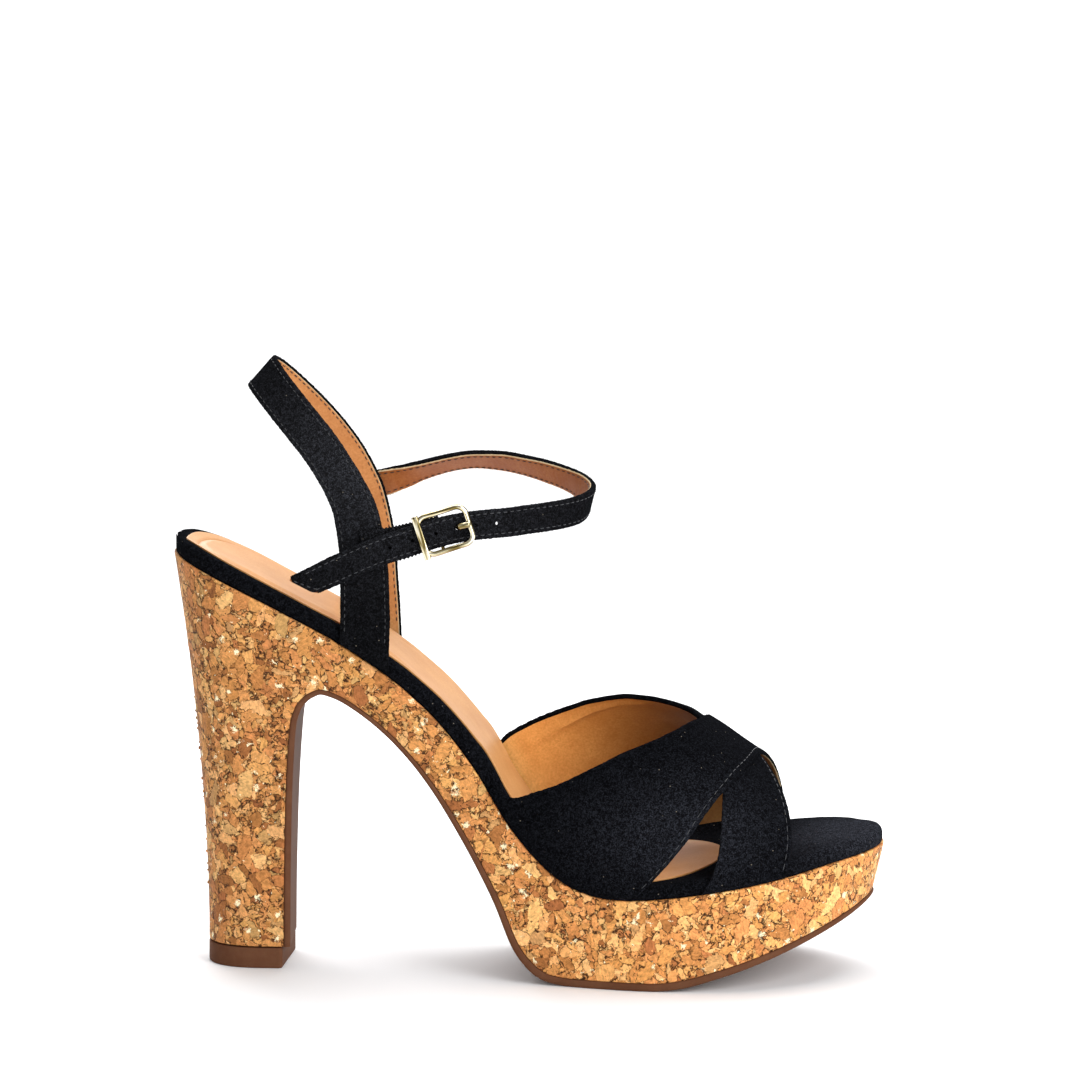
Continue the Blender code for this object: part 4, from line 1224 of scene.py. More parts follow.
@dataclass(frozen=True)
class Finishes:
    """The sandal's materials, made once."""

    suede: bpy.types.Material
    vamp_suede: bpy.types.Material
    bed_suede: bpy.types.Material
    lining: bpy.types.Material
    vamp_lining: bpy.types.Material
    raw_edge: bpy.types.Material
    sock: bpy.types.Material
    painted_shade_lining: bpy.types.Material
    cork: bpy.types.Material
    rubber: bpy.types.Material
    gold: bpy.types.Material
    dark_thread: bpy.types.Material
    brown_thread: bpy.types.Material
    black_thread: bpy.types.Material

    @staticmethod
    def make() -> "Finishes":
        """Makes them all.

        Returns:
            The materials.
        """
        finishes = {
            # Each suede has a painted pool of light, where light falls on the ankle straps, on the vamp's
            # side and on the toe.
            "suede": Microsuede("black_microsuede_of_straps", "#0A0A0B", "#26272B",
                                ((-40.0, -30.0, 150.0), (80.0, 60.0, 55.0)), 0.68, 2.4),
            "vamp_suede": Microsuede("black_microsuede_of_vamp", "#08080A", "#282A30",
                                     ((44.0, -38.0, 44.0), (52.0, 40.0, 30.0)), 0.46, 1.5),
            "bed_suede": Microsuede("black_microsuede_of_footbed", "#09090B", "#282A30",
                                    ((92.0, 0.0, 42.0), (46.0, 56.0, 26.0)), 0.6, 2.4),
            "lining": CoatedLining("tan_coated_lining", "#B67842", "#CE9258"),
            # The vamp's lining has painted light at its rear and painted shade towards the toe, where the
            # inside of the vamp lies in shade.
            "vamp_lining": CoatedLining("tan_coated_lining_of_vamp", "#B47B3E", "#CC9553",
                                        painted_light_and_shade=(1.78, 0.36)),
            "raw_edge": CoatedLining("cream_cut_edge_of_lining", "#BFA57C", "#DCC8A2", 0.3, 0.8),
            "sock": CoatedLining("peach_coated_sock", "#C28850", "#D09A61", 0.3),
            # A darker copy of the lining: painted shade for the ankle strap's lining, which faces down,
            # away from the light.
            "painted_shade_lining": CoatedLining("brown_tan_coated_lining", "#8C4E24", "#A26534"),
            "cork": PressedCork(),
            "rubber": MouldedRubber(),
            "gold": PlatedZinc(),
            "dark_thread": Thread("grey_nylon_thread", "#2A2C31"),
            "brown_thread": Thread("brown_nylon_thread", "#2C180B"),
            "black_thread": Thread("black_nylon_thread", "#1C1D21"),
        }
        return Finishes(**{part: finish.make() for part, finish in finishes.items()})


# --- Sub-assemblies ---


def end_stations(centre: float, reach: float, fullness: float, count: int) -> tuple[Array, Array]:
    """Stations and width shares of a rounded end: cos(phi)^(2/n) and sin(phi)^(2/n)."""
    phi = np.linspace(0, math.pi / 2, count)
    return centre + reach * np.cos(phi) ** (2 / fullness), np.sin(phi) ** (2 / fullness)


@dataclass
class SoleUnit:
    """Cork platform and block heel, with the rubber outsole and the lift under the heel."""

    finishes: Finishes
    heel_steps: int = 56
    rib_steps: int = 8
    toe_steps: int = 56
    wall_rows: int = 70
    flare_back: float = 1.8  # exponents of the heel's flare, from the side and from behind
    flare_side: float = 1.6
    foot_back: float = -92.0
    foot_round: float = 15.5
    foot_fullness: float = 2.2
    breast_skew: float = -0.02
    lift_skew: float = 0.05
    skew_span: tuple[float, float] = (-64.0, -46.0)
    toe_foot_tip: float = 98.9
    toe_spring: tuple[float, float] = (0.283, 0.0021)
    flat_thick: float = 2.3
    lift_breast: float = -69.0
    lift_chamfer: tuple[float, float] = (0.8, 2.6)  # lateral and medial
    lip: float = 0.5  # rounding of the cork's edges
    seam_gap: float = 0.1  # from the seam to the cork
    sole_gap: float = 0.05  # from the cork to the outsole
    sole_proud: float = 0.1  # how far the outsole and the lift stand out past the cork
    crumbs: int = 22
    crumb_radius: tuple[float, float] = (0.22, 0.5)

    def foot_end(self, count: int) -> tuple[Array, Array]:
        """Stations and width shares of the heel's rounded foot."""
        centre = self.foot_back + self.foot_round
        return end_stations(centre, -self.foot_round, self.foot_fullness, count)

    def ribs(self) -> tuple[Array, Array, Array]:
        """Ribs of the wall round the heel, along the sole and round the toe.

        Returns:
            Arrays of ribs by 5: seam station, width share there, foot station, foot height and half
            width at the foot.
        """
        seam_x, seam_share = end_stations(BACK + HEEL_ROUND, -HEEL_ROUND, HEEL_FULLNESS, self.heel_steps)
        foot_x, foot_share = self.foot_end(self.heel_steps)
        heel = join(seam_x, seam_share, foot_x, HEEL_FOOT_Z, foot_share * RIBS.column("half")[0])
        body = RIBS.spread(self.rib_steps * (len(RIBS.rows) - 1) + 1)
        foot_z = np.maximum(body["foot_z"], self.flat_thick)
        waist = join(body["seam_x"], 1.0, body["foot_x"], foot_z, body["half"])
        last = dict(zip(RIBS.columns.split(), RIBS.rows[-1]))
        seam_x, seam_share = end_stations(
            last["seam_x"], TIP - last["seam_x"], TOE_FULLNESS, self.toe_steps
        )
        foot_x, foot_share = end_stations(
            last["foot_x"], self.toe_foot_tip - last["foot_x"], TOE_FULLNESS, self.toe_steps
        )
        ahead = foot_x - last["foot_x"]
        foot_z = last["foot_z"] + self.toe_spring[0] * ahead + self.toe_spring[1] * ahead**2
        narrowing = PLAN.at("half", seam_x) / PLAN.at("half", last["seam_x"])
        toe = join(seam_x, seam_share, foot_x, foot_z, foot_share * last["half"] * narrowing)
        return heel, waist, toe[::-1]

    def foot_points(self, ribs: Array, across: Array) -> Array:
        """Points of the cork's lower edge at a distance across, with the breast turned a little."""
        foot_x, foot_z = (ribs[:, column].reshape(-1, *[1] * (across.ndim - 1)) for column in (2, 3))
        skew = self.breast_skew * (1 - ease(foot_x, *self.skew_span))
        return join(foot_x + skew * across, mid_line(foot_x) + across, foot_z)

    def wall(self, ribs: Array, side: Side) -> Array:
        """The cork's wall on one side.

        A rib runs from the seam to its foot. Its share of the way out is 1 - (1 - t)^n on the heel, t
        being the share of the way down, and t elsewhere. Both edges are rounded.

        Args:
            ribs: Ribs as ribs gives them.
            side: Which side.

        Returns:
            Points, ribs by rows by 3.
        """
        seam_x, share, _, _, foot_half = ribs.T
        top = bed_points(seam_x, side.value * PLAN.at("half", seam_x) * share, -self.seam_gap)
        foot = self.foot_points(ribs, side.value * foot_half)
        reach = np.clip((top[:, 2] - foot[:, 2]) / (top[:, 2] - HEEL_FOOT_Z), 0.02, 1)[:, None]
        heelness = (1 - ease(seam_x, *self.skew_span))[:, None]
        length = np.linalg.norm(foot - top, axis=1)[:, None]
        down = np.linspace(0, 1, self.wall_rows - 6)
        lip = self.lip / length * np.array([[0.0, 0.1, 0.4]])
        level = np.concatenate([
            lip, self.lip / length + (1 - 2 * self.lip / length) * down[None, :], 1 - lip[:, ::-1],
        ], axis=1)
        shares = []
        for power in (self.flare_back, self.flare_side):
            curved = (1 - (1 - level * reach) ** power) / (1 - (1 - reach) ** power)
            shares.append(heelness * curved + (1 - heelness) * level)
        grid = top[:, None, :] + (foot - top)[:, None, :] * np.stack([*shares, level], axis=-1)
        near_edge = np.minimum(level, 1 - level) * length / self.lip
        tuck = self.lip * 0.6 * (1 - np.sqrt(1 - np.clip(1 - near_edge, 0, 1) ** 2))
        x, y, z = np.moveaxis(grid, -1, 0)
        inward = unit(join(np.clip(x, BACK + HEEL_ROUND, TIP - TOE_ROUND), mid_line(x), z) - grid)
        crumble = 0.07 * ripple(4, x / 1.6, y / 1.6, z / 1.6)
        crumble += 0.05 * ripple(5, x / 0.8, y / 0.8, z / 0.8)
        return grid + inward * (tuck + crumble * np.clip(near_edge, 0, 1))[..., None]

    def make_cork(self) -> bpy.types.Object:
        """The block in one closed piece; each ring runs down the lateral wall and up the medial.

        Returns:
            The piece.
        """
        heel, waist, toe = self.ribs()
        ribs = np.concatenate([heel, waist, toe[1:]])
        rings = np.concatenate(
            [self.wall(ribs, Side.LATERAL), self.wall(ribs, Side.MEDIAL)[:, ::-1]], axis=1
        )
        made = build("cork_block", [solid(rings, (False, False))], [self.finishes.cork], 60)
        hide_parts("platform_heel")
        return made

    def make_crumbs(self) -> bpy.types.Object:
        """Loose crumbs of cork on the back of the heel: small lumpy balls, half sunk into it.

        A ball's radius is r * (1 + 0.25 * noise), its points at the sines and cosines of two angles.

        Returns:
            The piece.
        """
        chance = np.random.default_rng(3)
        back = self.wall(self.ribs()[0][:12], Side.LATERAL)
        polar, turn = np.linspace(0, math.pi, 9)[:, None], circle(10)[None, :]
        ball = join(np.sin(polar) * np.cos(turn), np.sin(polar) * np.sin(turn), np.cos(polar))
        grids = []
        for row in chance.integers(26, 62, self.crumbs):
            centre = back[chance.integers(0, 9), row]
            lumps = 1 + 0.25 * ripple(int(row), *(3 * ball[..., c] + row for c in range(3)))
            points = centre + ball * lumps[..., None] * chance.uniform(*self.crumb_radius)
            grids.append(solid(points))
        made = build("cork_crumbs", grids, [self.finishes.cork], 60)
        return made

    def make_outsole(self) -> bpy.types.Object:
        """The outsole: a plate with rounded edges along the cork's lower line.

        Returns:
            The piece.
        """
        _, waist, toe = self.ribs()
        ribs = np.concatenate([waist, toe[1:]])
        path = ribs[:, 2:4]
        tangent = unit(np.gradient(path, axis=0))
        down = join(tangent[:, 1], 0.0, -tangent[:, 0])
        thick = np.minimum(SOLE.at("thick", ribs[:, 2]), self.flat_thick)
        thick = np.where(ribs[:, 3] <= self.flat_thick, self.flat_thick, thick)
        share, inset, depth, _ = Band(1.0, 0.55, 12, 7).ring()
        across = share[None, :] * np.maximum(ribs[:, 4:5] + self.sole_proud - inset[None, :], 0)
        rings = self.foot_points(ribs, across)
        sunk = self.sole_gap + depth[None, :] * (thick[:, None] - self.sole_gap)
        rings = rings + down[:, None, :] * sunk[..., None]
        rings[..., 2] = np.maximum(rings[..., 2], 0.0)
        made = build("rubber_outsole", [solid(rings, (True, False))], [self.finishes.rubber], 45)
        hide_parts("outsole")
        return made

    def make_lift(self) -> bpy.types.Object:
        """The lift: its plan, with chamfered front corners, carried up with rounded edges.

        Returns:
            The piece.
        """
        x, share = self.foot_end(40)
        half = RIBS.column("half")[0] + self.sole_proud
        corners = []
        for side, chamfer in zip(Side, self.lift_chamfer):
            turn = self.lift_skew * side.value * half
            corners.append(np.concatenate([join(x, side.value * half * share), [
                [self.lift_breast - chamfer + turn, side.value * half],
                [self.lift_breast + turn, side.value * (half - chamfer)],
            ]]))
        outline = np.concatenate([corners[1], corners[0][:0:-1]])
        closed = np.concatenate([outline, outline[:1]])
        reach = arc_length(closed)
        outline = read_along(closed, reach, np.linspace(0, reach[-1], 241)[:-1])
        tangent = unit(np.roll(outline, -1, axis=0) - np.roll(outline, 1, axis=0))
        inward = join(-tangent[:, 1], tangent[:, 0])
        inward *= np.sign(((outline.mean(axis=0) - outline) * inward).sum())
        heights = np.array([0.0, 0.08, 0.25, 0.5, 2.0, 4.0, 5.4, 5.7, 5.85, 5.9])
        insets = np.array([0.5, 0.22, 0.07, 0.0, 0.0, 0.0, 0.0, 0.08, 0.2, 0.4])
        rings = outline[None] + inward[None] * insets[:, None, None]
        middle = float(mid_line(np.array(self.foot_back)))
        points = join(rings[..., 0], rings[..., 1] + middle, heights[:, None])
        made = build("heel_lift", [solid(points)], [self.finishes.rubber], 35)
        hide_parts("top_piece")
        return made

    def make(self) -> None:
        """Makes the pieces."""
        self.make_cork()
        self.make_crumbs()
        self.make_outsole()
        self.make_lift()


@dataclass
class Insole:
    """Suede-wrapped footbed and the padded sock on it."""

    finishes: Finishes
    roll: float = 2.3  # radius of the wrapped edge
    tuck: float = 0.7  # radius of its lower edge
    sock_back: float = -98.6
    sock_front: float = 56.0
    sock_front_round: float = 26.0
    sock_thick: float = 0.6
    sock_sunk: float = 0.05  # how far the sock lies in the footbed
    cushion_rise: float = 0.7
    cushion_margin: float = 3.6

    def make_footbed(self) -> bpy.types.Object:
        """The footbed: bottom, rolled edge and dished top.

        The roll drops from the top by r - sqrt(r^2 - (r - d)^2) at a distance d from the edge, and the
        lower edge is a quarter circle too. The middle of the top runs out to a spine.

        Returns:
            The piece.
        """
        roll_turn = np.linspace(0, 1, 10) ** 1.3
        tuck_turn = np.linspace(1, 0, 5)[:-1]
        inner = np.linspace(0, 1, 12)[1:]
        tucks = self.tuck * (1 - np.sqrt(1 - tuck_turn**2))
        insets = np.concatenate([
            np.full(3, self.tuck), tucks, self.roll * roll_turn, np.full(len(inner), self.roll),
        ])
        to_spine = np.concatenate([
            [1.0, 0.66, 0.33], np.zeros(len(tucks) + len(roll_turn)), inner,
        ])
        drawn_in = insets[None, :] + BAND_INSET
        x, _ = ovals(BACK + HEEL_ROUND, HEEL_ROUND - drawn_in, TIP - TOE_ROUND, TOE_ROUND - drawn_in,
                     TOE_FULLNESS, (60, 150, 70))
        half = half_width(x, drawn_in)
        spine = np.clip(x, BACK + HEEL_ROUND, TIP - TOE_ROUND)
        x = x + (spine - x) * to_spine[None, :]
        across = half * (1 - to_spine[None, :])
        edge_half = np.maximum(half_width(x, BAND_INSET), 1e-6)
        drop = self.roll - np.sqrt(self.roll**2 - np.clip(self.roll - insets, 0, self.roll) ** 2)
        drop = np.where(to_spine > 0, 0.0, drop)
        low = np.zeros(len(insets))
        low[3:3 + len(tucks)] = self.tuck * (1 - tuck_turn)
        is_low = np.zeros(len(insets), bool)
        is_low[:3 + len(tucks)] = True
        rings = []
        for side in Side:
            top = bed_top(x, side.value * across / edge_half)
            height = np.where(is_low[None, :], low[None, :], top - drop[None, :])
            bend = self.creases(x, side.value * across, is_low[None, :])
            rings.append(bed_points(x, side.value * across, height + bend))
        ring = np.concatenate([rings[0], rings[1][:, -2:0:-1]], axis=1)
        made = build("footbed_wrap", [solid(ring, (False, False))], [self.finishes.bed_suede], 60)
        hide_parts("footbed")
        return made

    @staticmethod
    def creases(x: Array, across: Array, low: Array) -> Array:
        """Soft dents of the wrap at the toe, as heights: a few ridges across it.

        Args:
            x: Stations.
            across: Distances across.
            low: Where the surface is the underside.

        Returns:
            The heights.
        """
        toe = ease(x, 60, 80)
        dents = 0.22 * bump_at(x + 0.25 * across, 84, 4.5) - 0.22 * bump_at(x - 0.3 * across, 91, 3.6)
        dents += 0.3 * bump_at(x + 0.5 * across, 70, 4.0)
        dents += 0.08 * ripple(11, x / 6, across / 6)
        return np.where(low, 0.0, toe * dents + 0.05 * ripple(12, x / 3, across / 3))

    def make_sock(self) -> bpy.types.Object:
        """The sock: a plate on the footbed with a rounded front, raised inside a line at the seat.

        Returns:
            The piece.
        """
        inset = np.concatenate([
            [0.25, 0.08, 0.0, 0.08, 0.25, 0.6], np.linspace(1.1, 7.5, 24),
        ])
        to_spine = np.concatenate([np.zeros(len(inset)), np.linspace(0, 1, 8)[1:]])
        inset = np.concatenate([inset, np.full(7, 7.5)])
        level = np.concatenate([[0.0, 0.15, 0.5, 0.85, 0.97], np.ones(len(inset) - 5)])
        back_c, front_c = BACK + HEEL_ROUND, self.sock_front - self.sock_front_round
        x, share = ovals(back_c, back_c - self.sock_back - inset, front_c, self.sock_front_round - inset,
                         2.0, (60, 120, 50))
        half = (PLAN.at("half", x) - SOCK_MARGIN.at("inset", x) - BAND_INSET - inset) * share
        spine = np.clip(x, back_c, front_c)
        x = x + (spine - x) * to_spine
        across = half * (1 - to_spine)
        below = bed_top(x, across / np.maximum(half_width(x, BAND_INSET), 1e-6)) - self.sock_sunk
        pad = self.cushion_rise * ease(inset, self.cushion_margin, self.cushion_margin + 2.6)
        pad = pad - 0.4 * bump_at(inset, self.cushion_margin, 0.4)
        seatness = 1 - ease(x, -44, -30)
        height = below + self.sock_thick * level + pad * seatness * (level > 0.99)
        height += 0.05 * ripple(21, x / 9, across / 9) * level
        lateral, medial = (bed_points(x, side.value * across, height) for side in Side)
        under = bed_points(spine[:, :1], 0.0, bed_top(spine[:, :1], 0.0) - self.sock_sunk)
        ring = np.concatenate([under, lateral, medial[:, -2::-1]], axis=1)
        made = build("padded_sock", [solid(ring, (False, False))], [self.finishes.sock], 50)
        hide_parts("sock")
        return made

    def make(self) -> None:
        """Makes both pieces."""
        self.make_footbed()
        self.make_sock()


@dataclass
class Vamp:
    """Two wide straps crossed over the forefoot, folded at their edges and lined."""

    finishes: Finishes
    leather: float = 1.5
    gap: float = 0.45  # from the foot's surface to the lining
    lift: float = 1.35  # rise of the over strap where the other passes beneath
    lift_span: tuple[float, float] = (24.0, 40.0)
    crowding: float = 0.55
    rows: int = 170
    base_round: float = 1.6  # height over which a strap thins into the seam
    fold_inset: float = 3.6  # of the under strap's soft fold from its rear edge
    fold_size: float = 0.9  # its depth and half its width
    stitch_inset: float = 1.2

    def angles(self) -> Array:
        """Angles round the foot, closer together at the seams."""
        even = np.linspace(0, 1, self.rows)
        return 90 * (1 - np.cos(math.pi * even)) * self.crowding + 180 * even * (1 - self.crowding)

    def strap_lift(self, angle: Array) -> Array:
        """How far the over strap rises off the foot, by the angle round it."""
        return self.lift * ease(angle, *self.lift_span) * ease(180 - angle, *self.lift_span)

    def offset(self, over: bool, angle: Array, x: Array, depth: Array) -> Array:
        """Distance of a strap's points from the foot's surface: gap, lift, relief and depth.

        Towards the seam its thickness falls as a quarter ellipse.

        Args:
            over: Whether it is the over strap.
            angle: Angles round the foot.
            x: Stations.
            depth: Distance through the strap.

        Returns:
            The distances.
        """
        lift = self.strap_lift(angle) if over else 0.0
        height = CREST.at("height", x) * np.abs(np.sin(np.radians(angle))) ** (2 / FOOT_FULLNESS)
        near = np.clip(1 - height / self.base_round, 0, 1)
        thin = 0.25 + 0.75 * np.sqrt(1 - near**2)
        fold = 0.1 * ripple(31 + over, x / 9, angle / 14) + 0.05 * ripple(33, x / 2.5, angle / 5)
        return self.gap * (1 - near) + lift + (depth + fold * (1 - near)) * thin

    def strap(self, name: str, edges: Table, over: bool) -> bpy.types.Object:
        """One strap as a closed piece between its two edge curves.

        On the medial side the under strap has a soft fold along its rear edge.

        Args:
            name: Name of the piece.
            edges: Its edge curves.
            over: Whether it is the over strap.

        Returns:
            The piece.
        """
        band = Band(self.leather, 0.55, 44, 9, 0.8 if over else 1.0)
        share, inset, depth, finish = band.ring()
        angle = self.angles()[:, None]
        rear, front = edges.at("rear", angle), edges.at("front", angle)
        inset = band.frayed(inset, len(angle), 7 + over)
        x = rear + inset + (front - rear - 2 * inset) * (share + 1) / 2
        angle = np.broadcast_to(angle, x.shape)
        offset = self.offset(over, angle, x, depth[None, :])
        if not over:
            medial = ease(angle, 98, 110) - ease(angle, 156, 168)
            offset = offset - self.fold_size * bump_at(x - rear, self.fold_inset, self.fold_size) * medial
        rings = last_points(x, angle, offset)
        made = build(name, [Grid(rings, surface_map(rings), finish)],
                     [self.finishes.vamp_suede, self.finishes.vamp_lining, self.finishes.raw_edge], 55)
        return made

    def edge_stitches(self, edges: Table, over: bool, span: tuple[float, float]) -> Array:
        """Stitches on a strap, along its front edge over a span of angles.

        Args:
            edges: The strap's edge curves.
            over: Whether it is the over strap.
            span: First and last angle.

        Returns:
            Stitches as threads gives them.
        """
        angle = np.linspace(*span, 600)
        x = edges.at("front", angle) - self.stitch_inset
        depth = np.full(len(angle), self.leather + 0.02)
        points = last_points(x, angle, self.offset(over, angle, x, depth))
        above = last_points(x, angle, self.offset(over, angle, x, depth + 1.0))
        return threads(points, above - points, pitch=2.8, length=2.1, radius=0.1, proud=0.08)

    def make(self) -> None:
        """Makes the straps and their stitches."""
        over = self.strap("vamp_strap_over", OVER_STRAP, True)
        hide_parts("upper")
        self.strap("vamp_strap_under", UNDER_STRAP, False)
        stitches = [
            self.edge_stitches(OVER_STRAP, True, (3, 177)),
            self.edge_stitches(UNDER_STRAP, False, (3, 88)),
        ]
        made = stitch_piece("vamp_stitches", stitches, self.finishes.dark_thread)


@dataclass
class AnkleStraps:
    """Back strap, buckled ankle strap and the elastic tab that holds the buckle."""

    finishes: Finishes
    leather: float = 1.5
    ankle_mid: float = -0.8
    ankle_width: float = 8.1
    ankle_thick: float = 1.8
    tip_slant: float = 5.1
    tip_narrow: float = 0.92
    lead: float = 6.0  # straight run added before the tip
    holes: tuple[float, ...] = (27.3, 33.9, 40.7, 46.9, 52.0, 58.0)  # distances from the tip
    stopped: float = 52.0  # the hole that does not go right through
    hole_radius: float = 0.5
    stitch_pitch: float = 1.95
    stitch_rise: float = 0.03  # of a stitch line above the strap
    ankle_margin: float = 1.15  # from the edge to the stitches
    end_margin: float = 1.1

    def back_route(self) -> Ribbon:
        """The back strap's route, lateral side first; both sides come from one table.

        Returns:
            The route.
        """
        last = len(SLING.rows) - 1
        lateral = {name: SLING.column(name)[::-1] for name in SLING.columns.split()}
        medial = {name: SLING.column(name)[1:] for name in SLING.columns.split()}
        tables = {name: np.concatenate([lateral[name], medial[name]]) for name in lateral}
        side = np.concatenate([np.full(last + 1, -1.0), np.ones(last)])
        lean = np.radians(tables["lean"])
        shift = tables["ahead"] * (side > 0)
        x = tables["x"] + shift * np.cos(lean)
        y = self.ankle_mid + side * tables["spread"]
        z = tables["z"] + shift * np.sin(lean)
        rows = np.arange(2 * last + 1, dtype=float)
        at = np.linspace(0, 2 * last, 1800)
        centre = join(*(cubic(rows, column, at) for column in (x, y, z)))
        lean, width = cubic(rows, lean, at), cubic(rows, tables["width"], at)
        cross = join(np.cos(lean), 0.0, np.sin(lean))
        out = unit(np.cross(unit(np.gradient(centre, axis=0)), cross))
        out *= -np.sign(out[0, 1])
        return Ribbon(centre, cross, out, width)

    def ankle_route(self) -> Ribbon:
        """The ankle strap's route, from a little beyond its tip.

        Returns:
            The route.
        """
        line = ANKLE.spread(1500)
        path = join(line["x"], line["y"], line["z"])
        first = unit(path[1] - path[0])
        steps = np.linspace(self.lead, 0.1, 60)[:, None]
        path = np.concatenate([path[0] - first * steps, path])
        lean = np.radians(np.concatenate([np.full(60, line["lean"][0]), line["lean"]]))[:, None]
        tangent = unit(np.gradient(path, axis=0))
        level = unit(join(tangent[:, 1], -tangent[:, 0], 0.0))
        rise = unit(np.cross(level, tangent))
        rise *= np.sign(rise[:, 2:3])
        cross = rise * np.cos(lean) - level * np.sin(lean)
        out = level * np.cos(lean) + rise * np.sin(lean)
        reach = arc_length(path)
        narrow = self.tip_narrow + (1 - self.tip_narrow) * ease(reach, self.lead, self.lead + 12)
        return Ribbon(path, cross, out, self.ankle_width * narrow)

    def make_back(self) -> None:
        """The back strap and its stitches."""
        route = self.back_route()
        band = Band(self.leather, 0.4, 64, 8, 1.0, 1)
        s = np.linspace(0, route.reach[-1], 420)

        def relief(s: Array, across: Array) -> Array:
            """Slow waves of the leather, with fine ones over them."""
            return 0.1 * ripple(41, s / 9, across / 6) + 0.04 * ripple(42, s / 2.4, across / 2.4)

        made = build("back_strap_lined", [route.grid(band, s, relief)],
                     [self.finishes.suede, self.finishes.lining, self.finishes.raw_edge], 55)
        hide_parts("back_strap")
        self.stitch(route, "back_strap", 1.25, self.leather / 2, s[12], s[-12],
                    self.finishes.black_thread)

    def stitch(self, route: Ribbon, name: str, margin: float, half_thick: float, begin: float,
               end: float, thread: bpy.types.Material) -> None:
        """Two stitch lines on each face of a strap, dark outside and brown on the lining.

        Args:
            route: The strap's route.
            name: Name of the strap.
            margin: From its edge to the line.
            half_thick: Half its thickness.
            begin: Distance along where the lines begin.
            end: And where they end.
            thread: The outer thread.
        """
        s = np.linspace(begin, end, 1600)
        for face, finish in ((1, thread), (-1, self.finishes.brown_thread)):
            rows = []
            length, radius = (1.25, 0.13) if face > 0 else (1.45, 0.17)
            for side in (-1, 1):
                path, out = route.line(s, margin, side, face * (half_thick + self.stitch_rise))
                rows.append(threads(path, out, self.stitch_pitch, length, radius, proud=0.12))
            label = "outer" if face > 0 else "lining"
            stitch_piece(f"{name}_{label}_stitches", rows, finish)

    def tip_start(self, share: Array, width: Array) -> Array:
        """Where each line along the ankle strap starts: a slanted cut with rounded corners."""
        corner = 1.1
        over = np.clip((np.abs(share) * width / 2 - (width / 2 - corner)) / corner, 0, 1)
        return self.lead - share * self.tip_slant / 2 + corner * (1 - np.sqrt(1 - over**2))

    def make_ankle(self) -> None:
        """The ankle strap, its punched holes and its stitches."""
        route = self.ankle_route()
        band = Band(self.ankle_thick, 0.45, 20, 8, 0.78)
        share = band.ring()[0]
        steps = np.linspace(self.lead, route.reach[-1], 620)[:, None]
        width = float(route.width[0])
        begin = self.tip_start(share[None, :], width)
        s = steps + (begin - self.lead) * (1 - ease(steps, self.lead, self.lead + 14))

        def relief(s: Array, across: Array) -> Array:
            """Fine cross wrinkles, stronger where the strap turns, and a few soft folds.

            Args:
                s: Distances along the route.
                across: Positions across it.

            Returns:
                How far it stands out.
            """
            bend = 0.35 + bump_at(s, 92.0, 16.0) + 0.6 * bump_at(s, 62.0, 12.0)
            fine = 0.05 * ripple(51, s / 0.9, across / 5) + 0.04 * ripple(52, s / 0.5, across / 3)
            folds = 0.1 * bump_at(s, 176.0, 1.0) - 0.1 * bump_at(s, 172.5, 1.2)
            folds += 0.08 * bump_at(s, 169.0, 0.9)
            return fine * bend + folds + 0.05 * ripple(53, s / 8, across / 5)

        # The ankle strap's lining takes the darker copy of the lining, painted shade.
        made = build("ankle_strap_lined", [route.grid(band, s, relief)],
                     [self.finishes.suede, self.finishes.painted_shade_lining, self.finishes.raw_edge], 55)
        self.punch(made, route)
        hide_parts("ankle_strap")
        self.stitch(route, "ankle_strap", self.ankle_margin, self.ankle_thick / 2, self.lead + 2.6,
                    route.reach[-1] - 1.0, self.finishes.dark_thread)
        end = np.linspace(-1, 1, 60)
        points = route.points(self.tip_start(end, width) + self.end_margin, end, self.ankle_margin,
                              self.ankle_thick / 2 + self.stitch_rise)
        out = route.read(route.out, np.full(len(end), self.lead))
        rows = [threads(points, out, self.stitch_pitch, length=1.25, radius=0.13, proud=0.12)]
        stitch_piece("strap_end_stitches", rows, self.finishes.dark_thread)

    def punch(self, strap: bpy.types.Object, route: Ribbon) -> None:
        """Cuts the holes: round pins through the strap, taken away by a Boolean.

        Args:
            strap: The strap, changed in place.
            route: Its route.
        """
        turn = circle(16)
        grids = []
        for hole in self.holes:
            s = np.array([hole + self.lead])
            centre, out = route.read(route.centre, s)[0], unit(route.read(route.out, s))[0]
            up = unit(route.read(route.cross, s))[0]
            side = np.cross(out, up)
            rim = np.cos(turn)[:, None] * side + np.sin(turn)[:, None] * up
            depth = np.array([0.1 if hole == self.stopped else -3.0, 3.0])[:, None, None]
            pin = centre + rim[None] * self.hole_radius + out * depth
            grids.append(solid(pin))
        pins = build("hole_pins", grids, [self.finishes.suede], 30, False)
        cut = strap.modifiers.new("holes", "BOOLEAN")
        cut.operation, cut.object, cut.solver = "DIFFERENCE", pins, "EXACT"
        bpy.context.view_layer.update()
        graph = bpy.context.evaluated_depsgraph_get()
        cut_mesh = bpy.data.meshes.new_from_object(strap.evaluated_get(graph))
        strap.modifiers.clear()
        strap.data = cut_mesh
        bpy.data.objects.remove(pins)

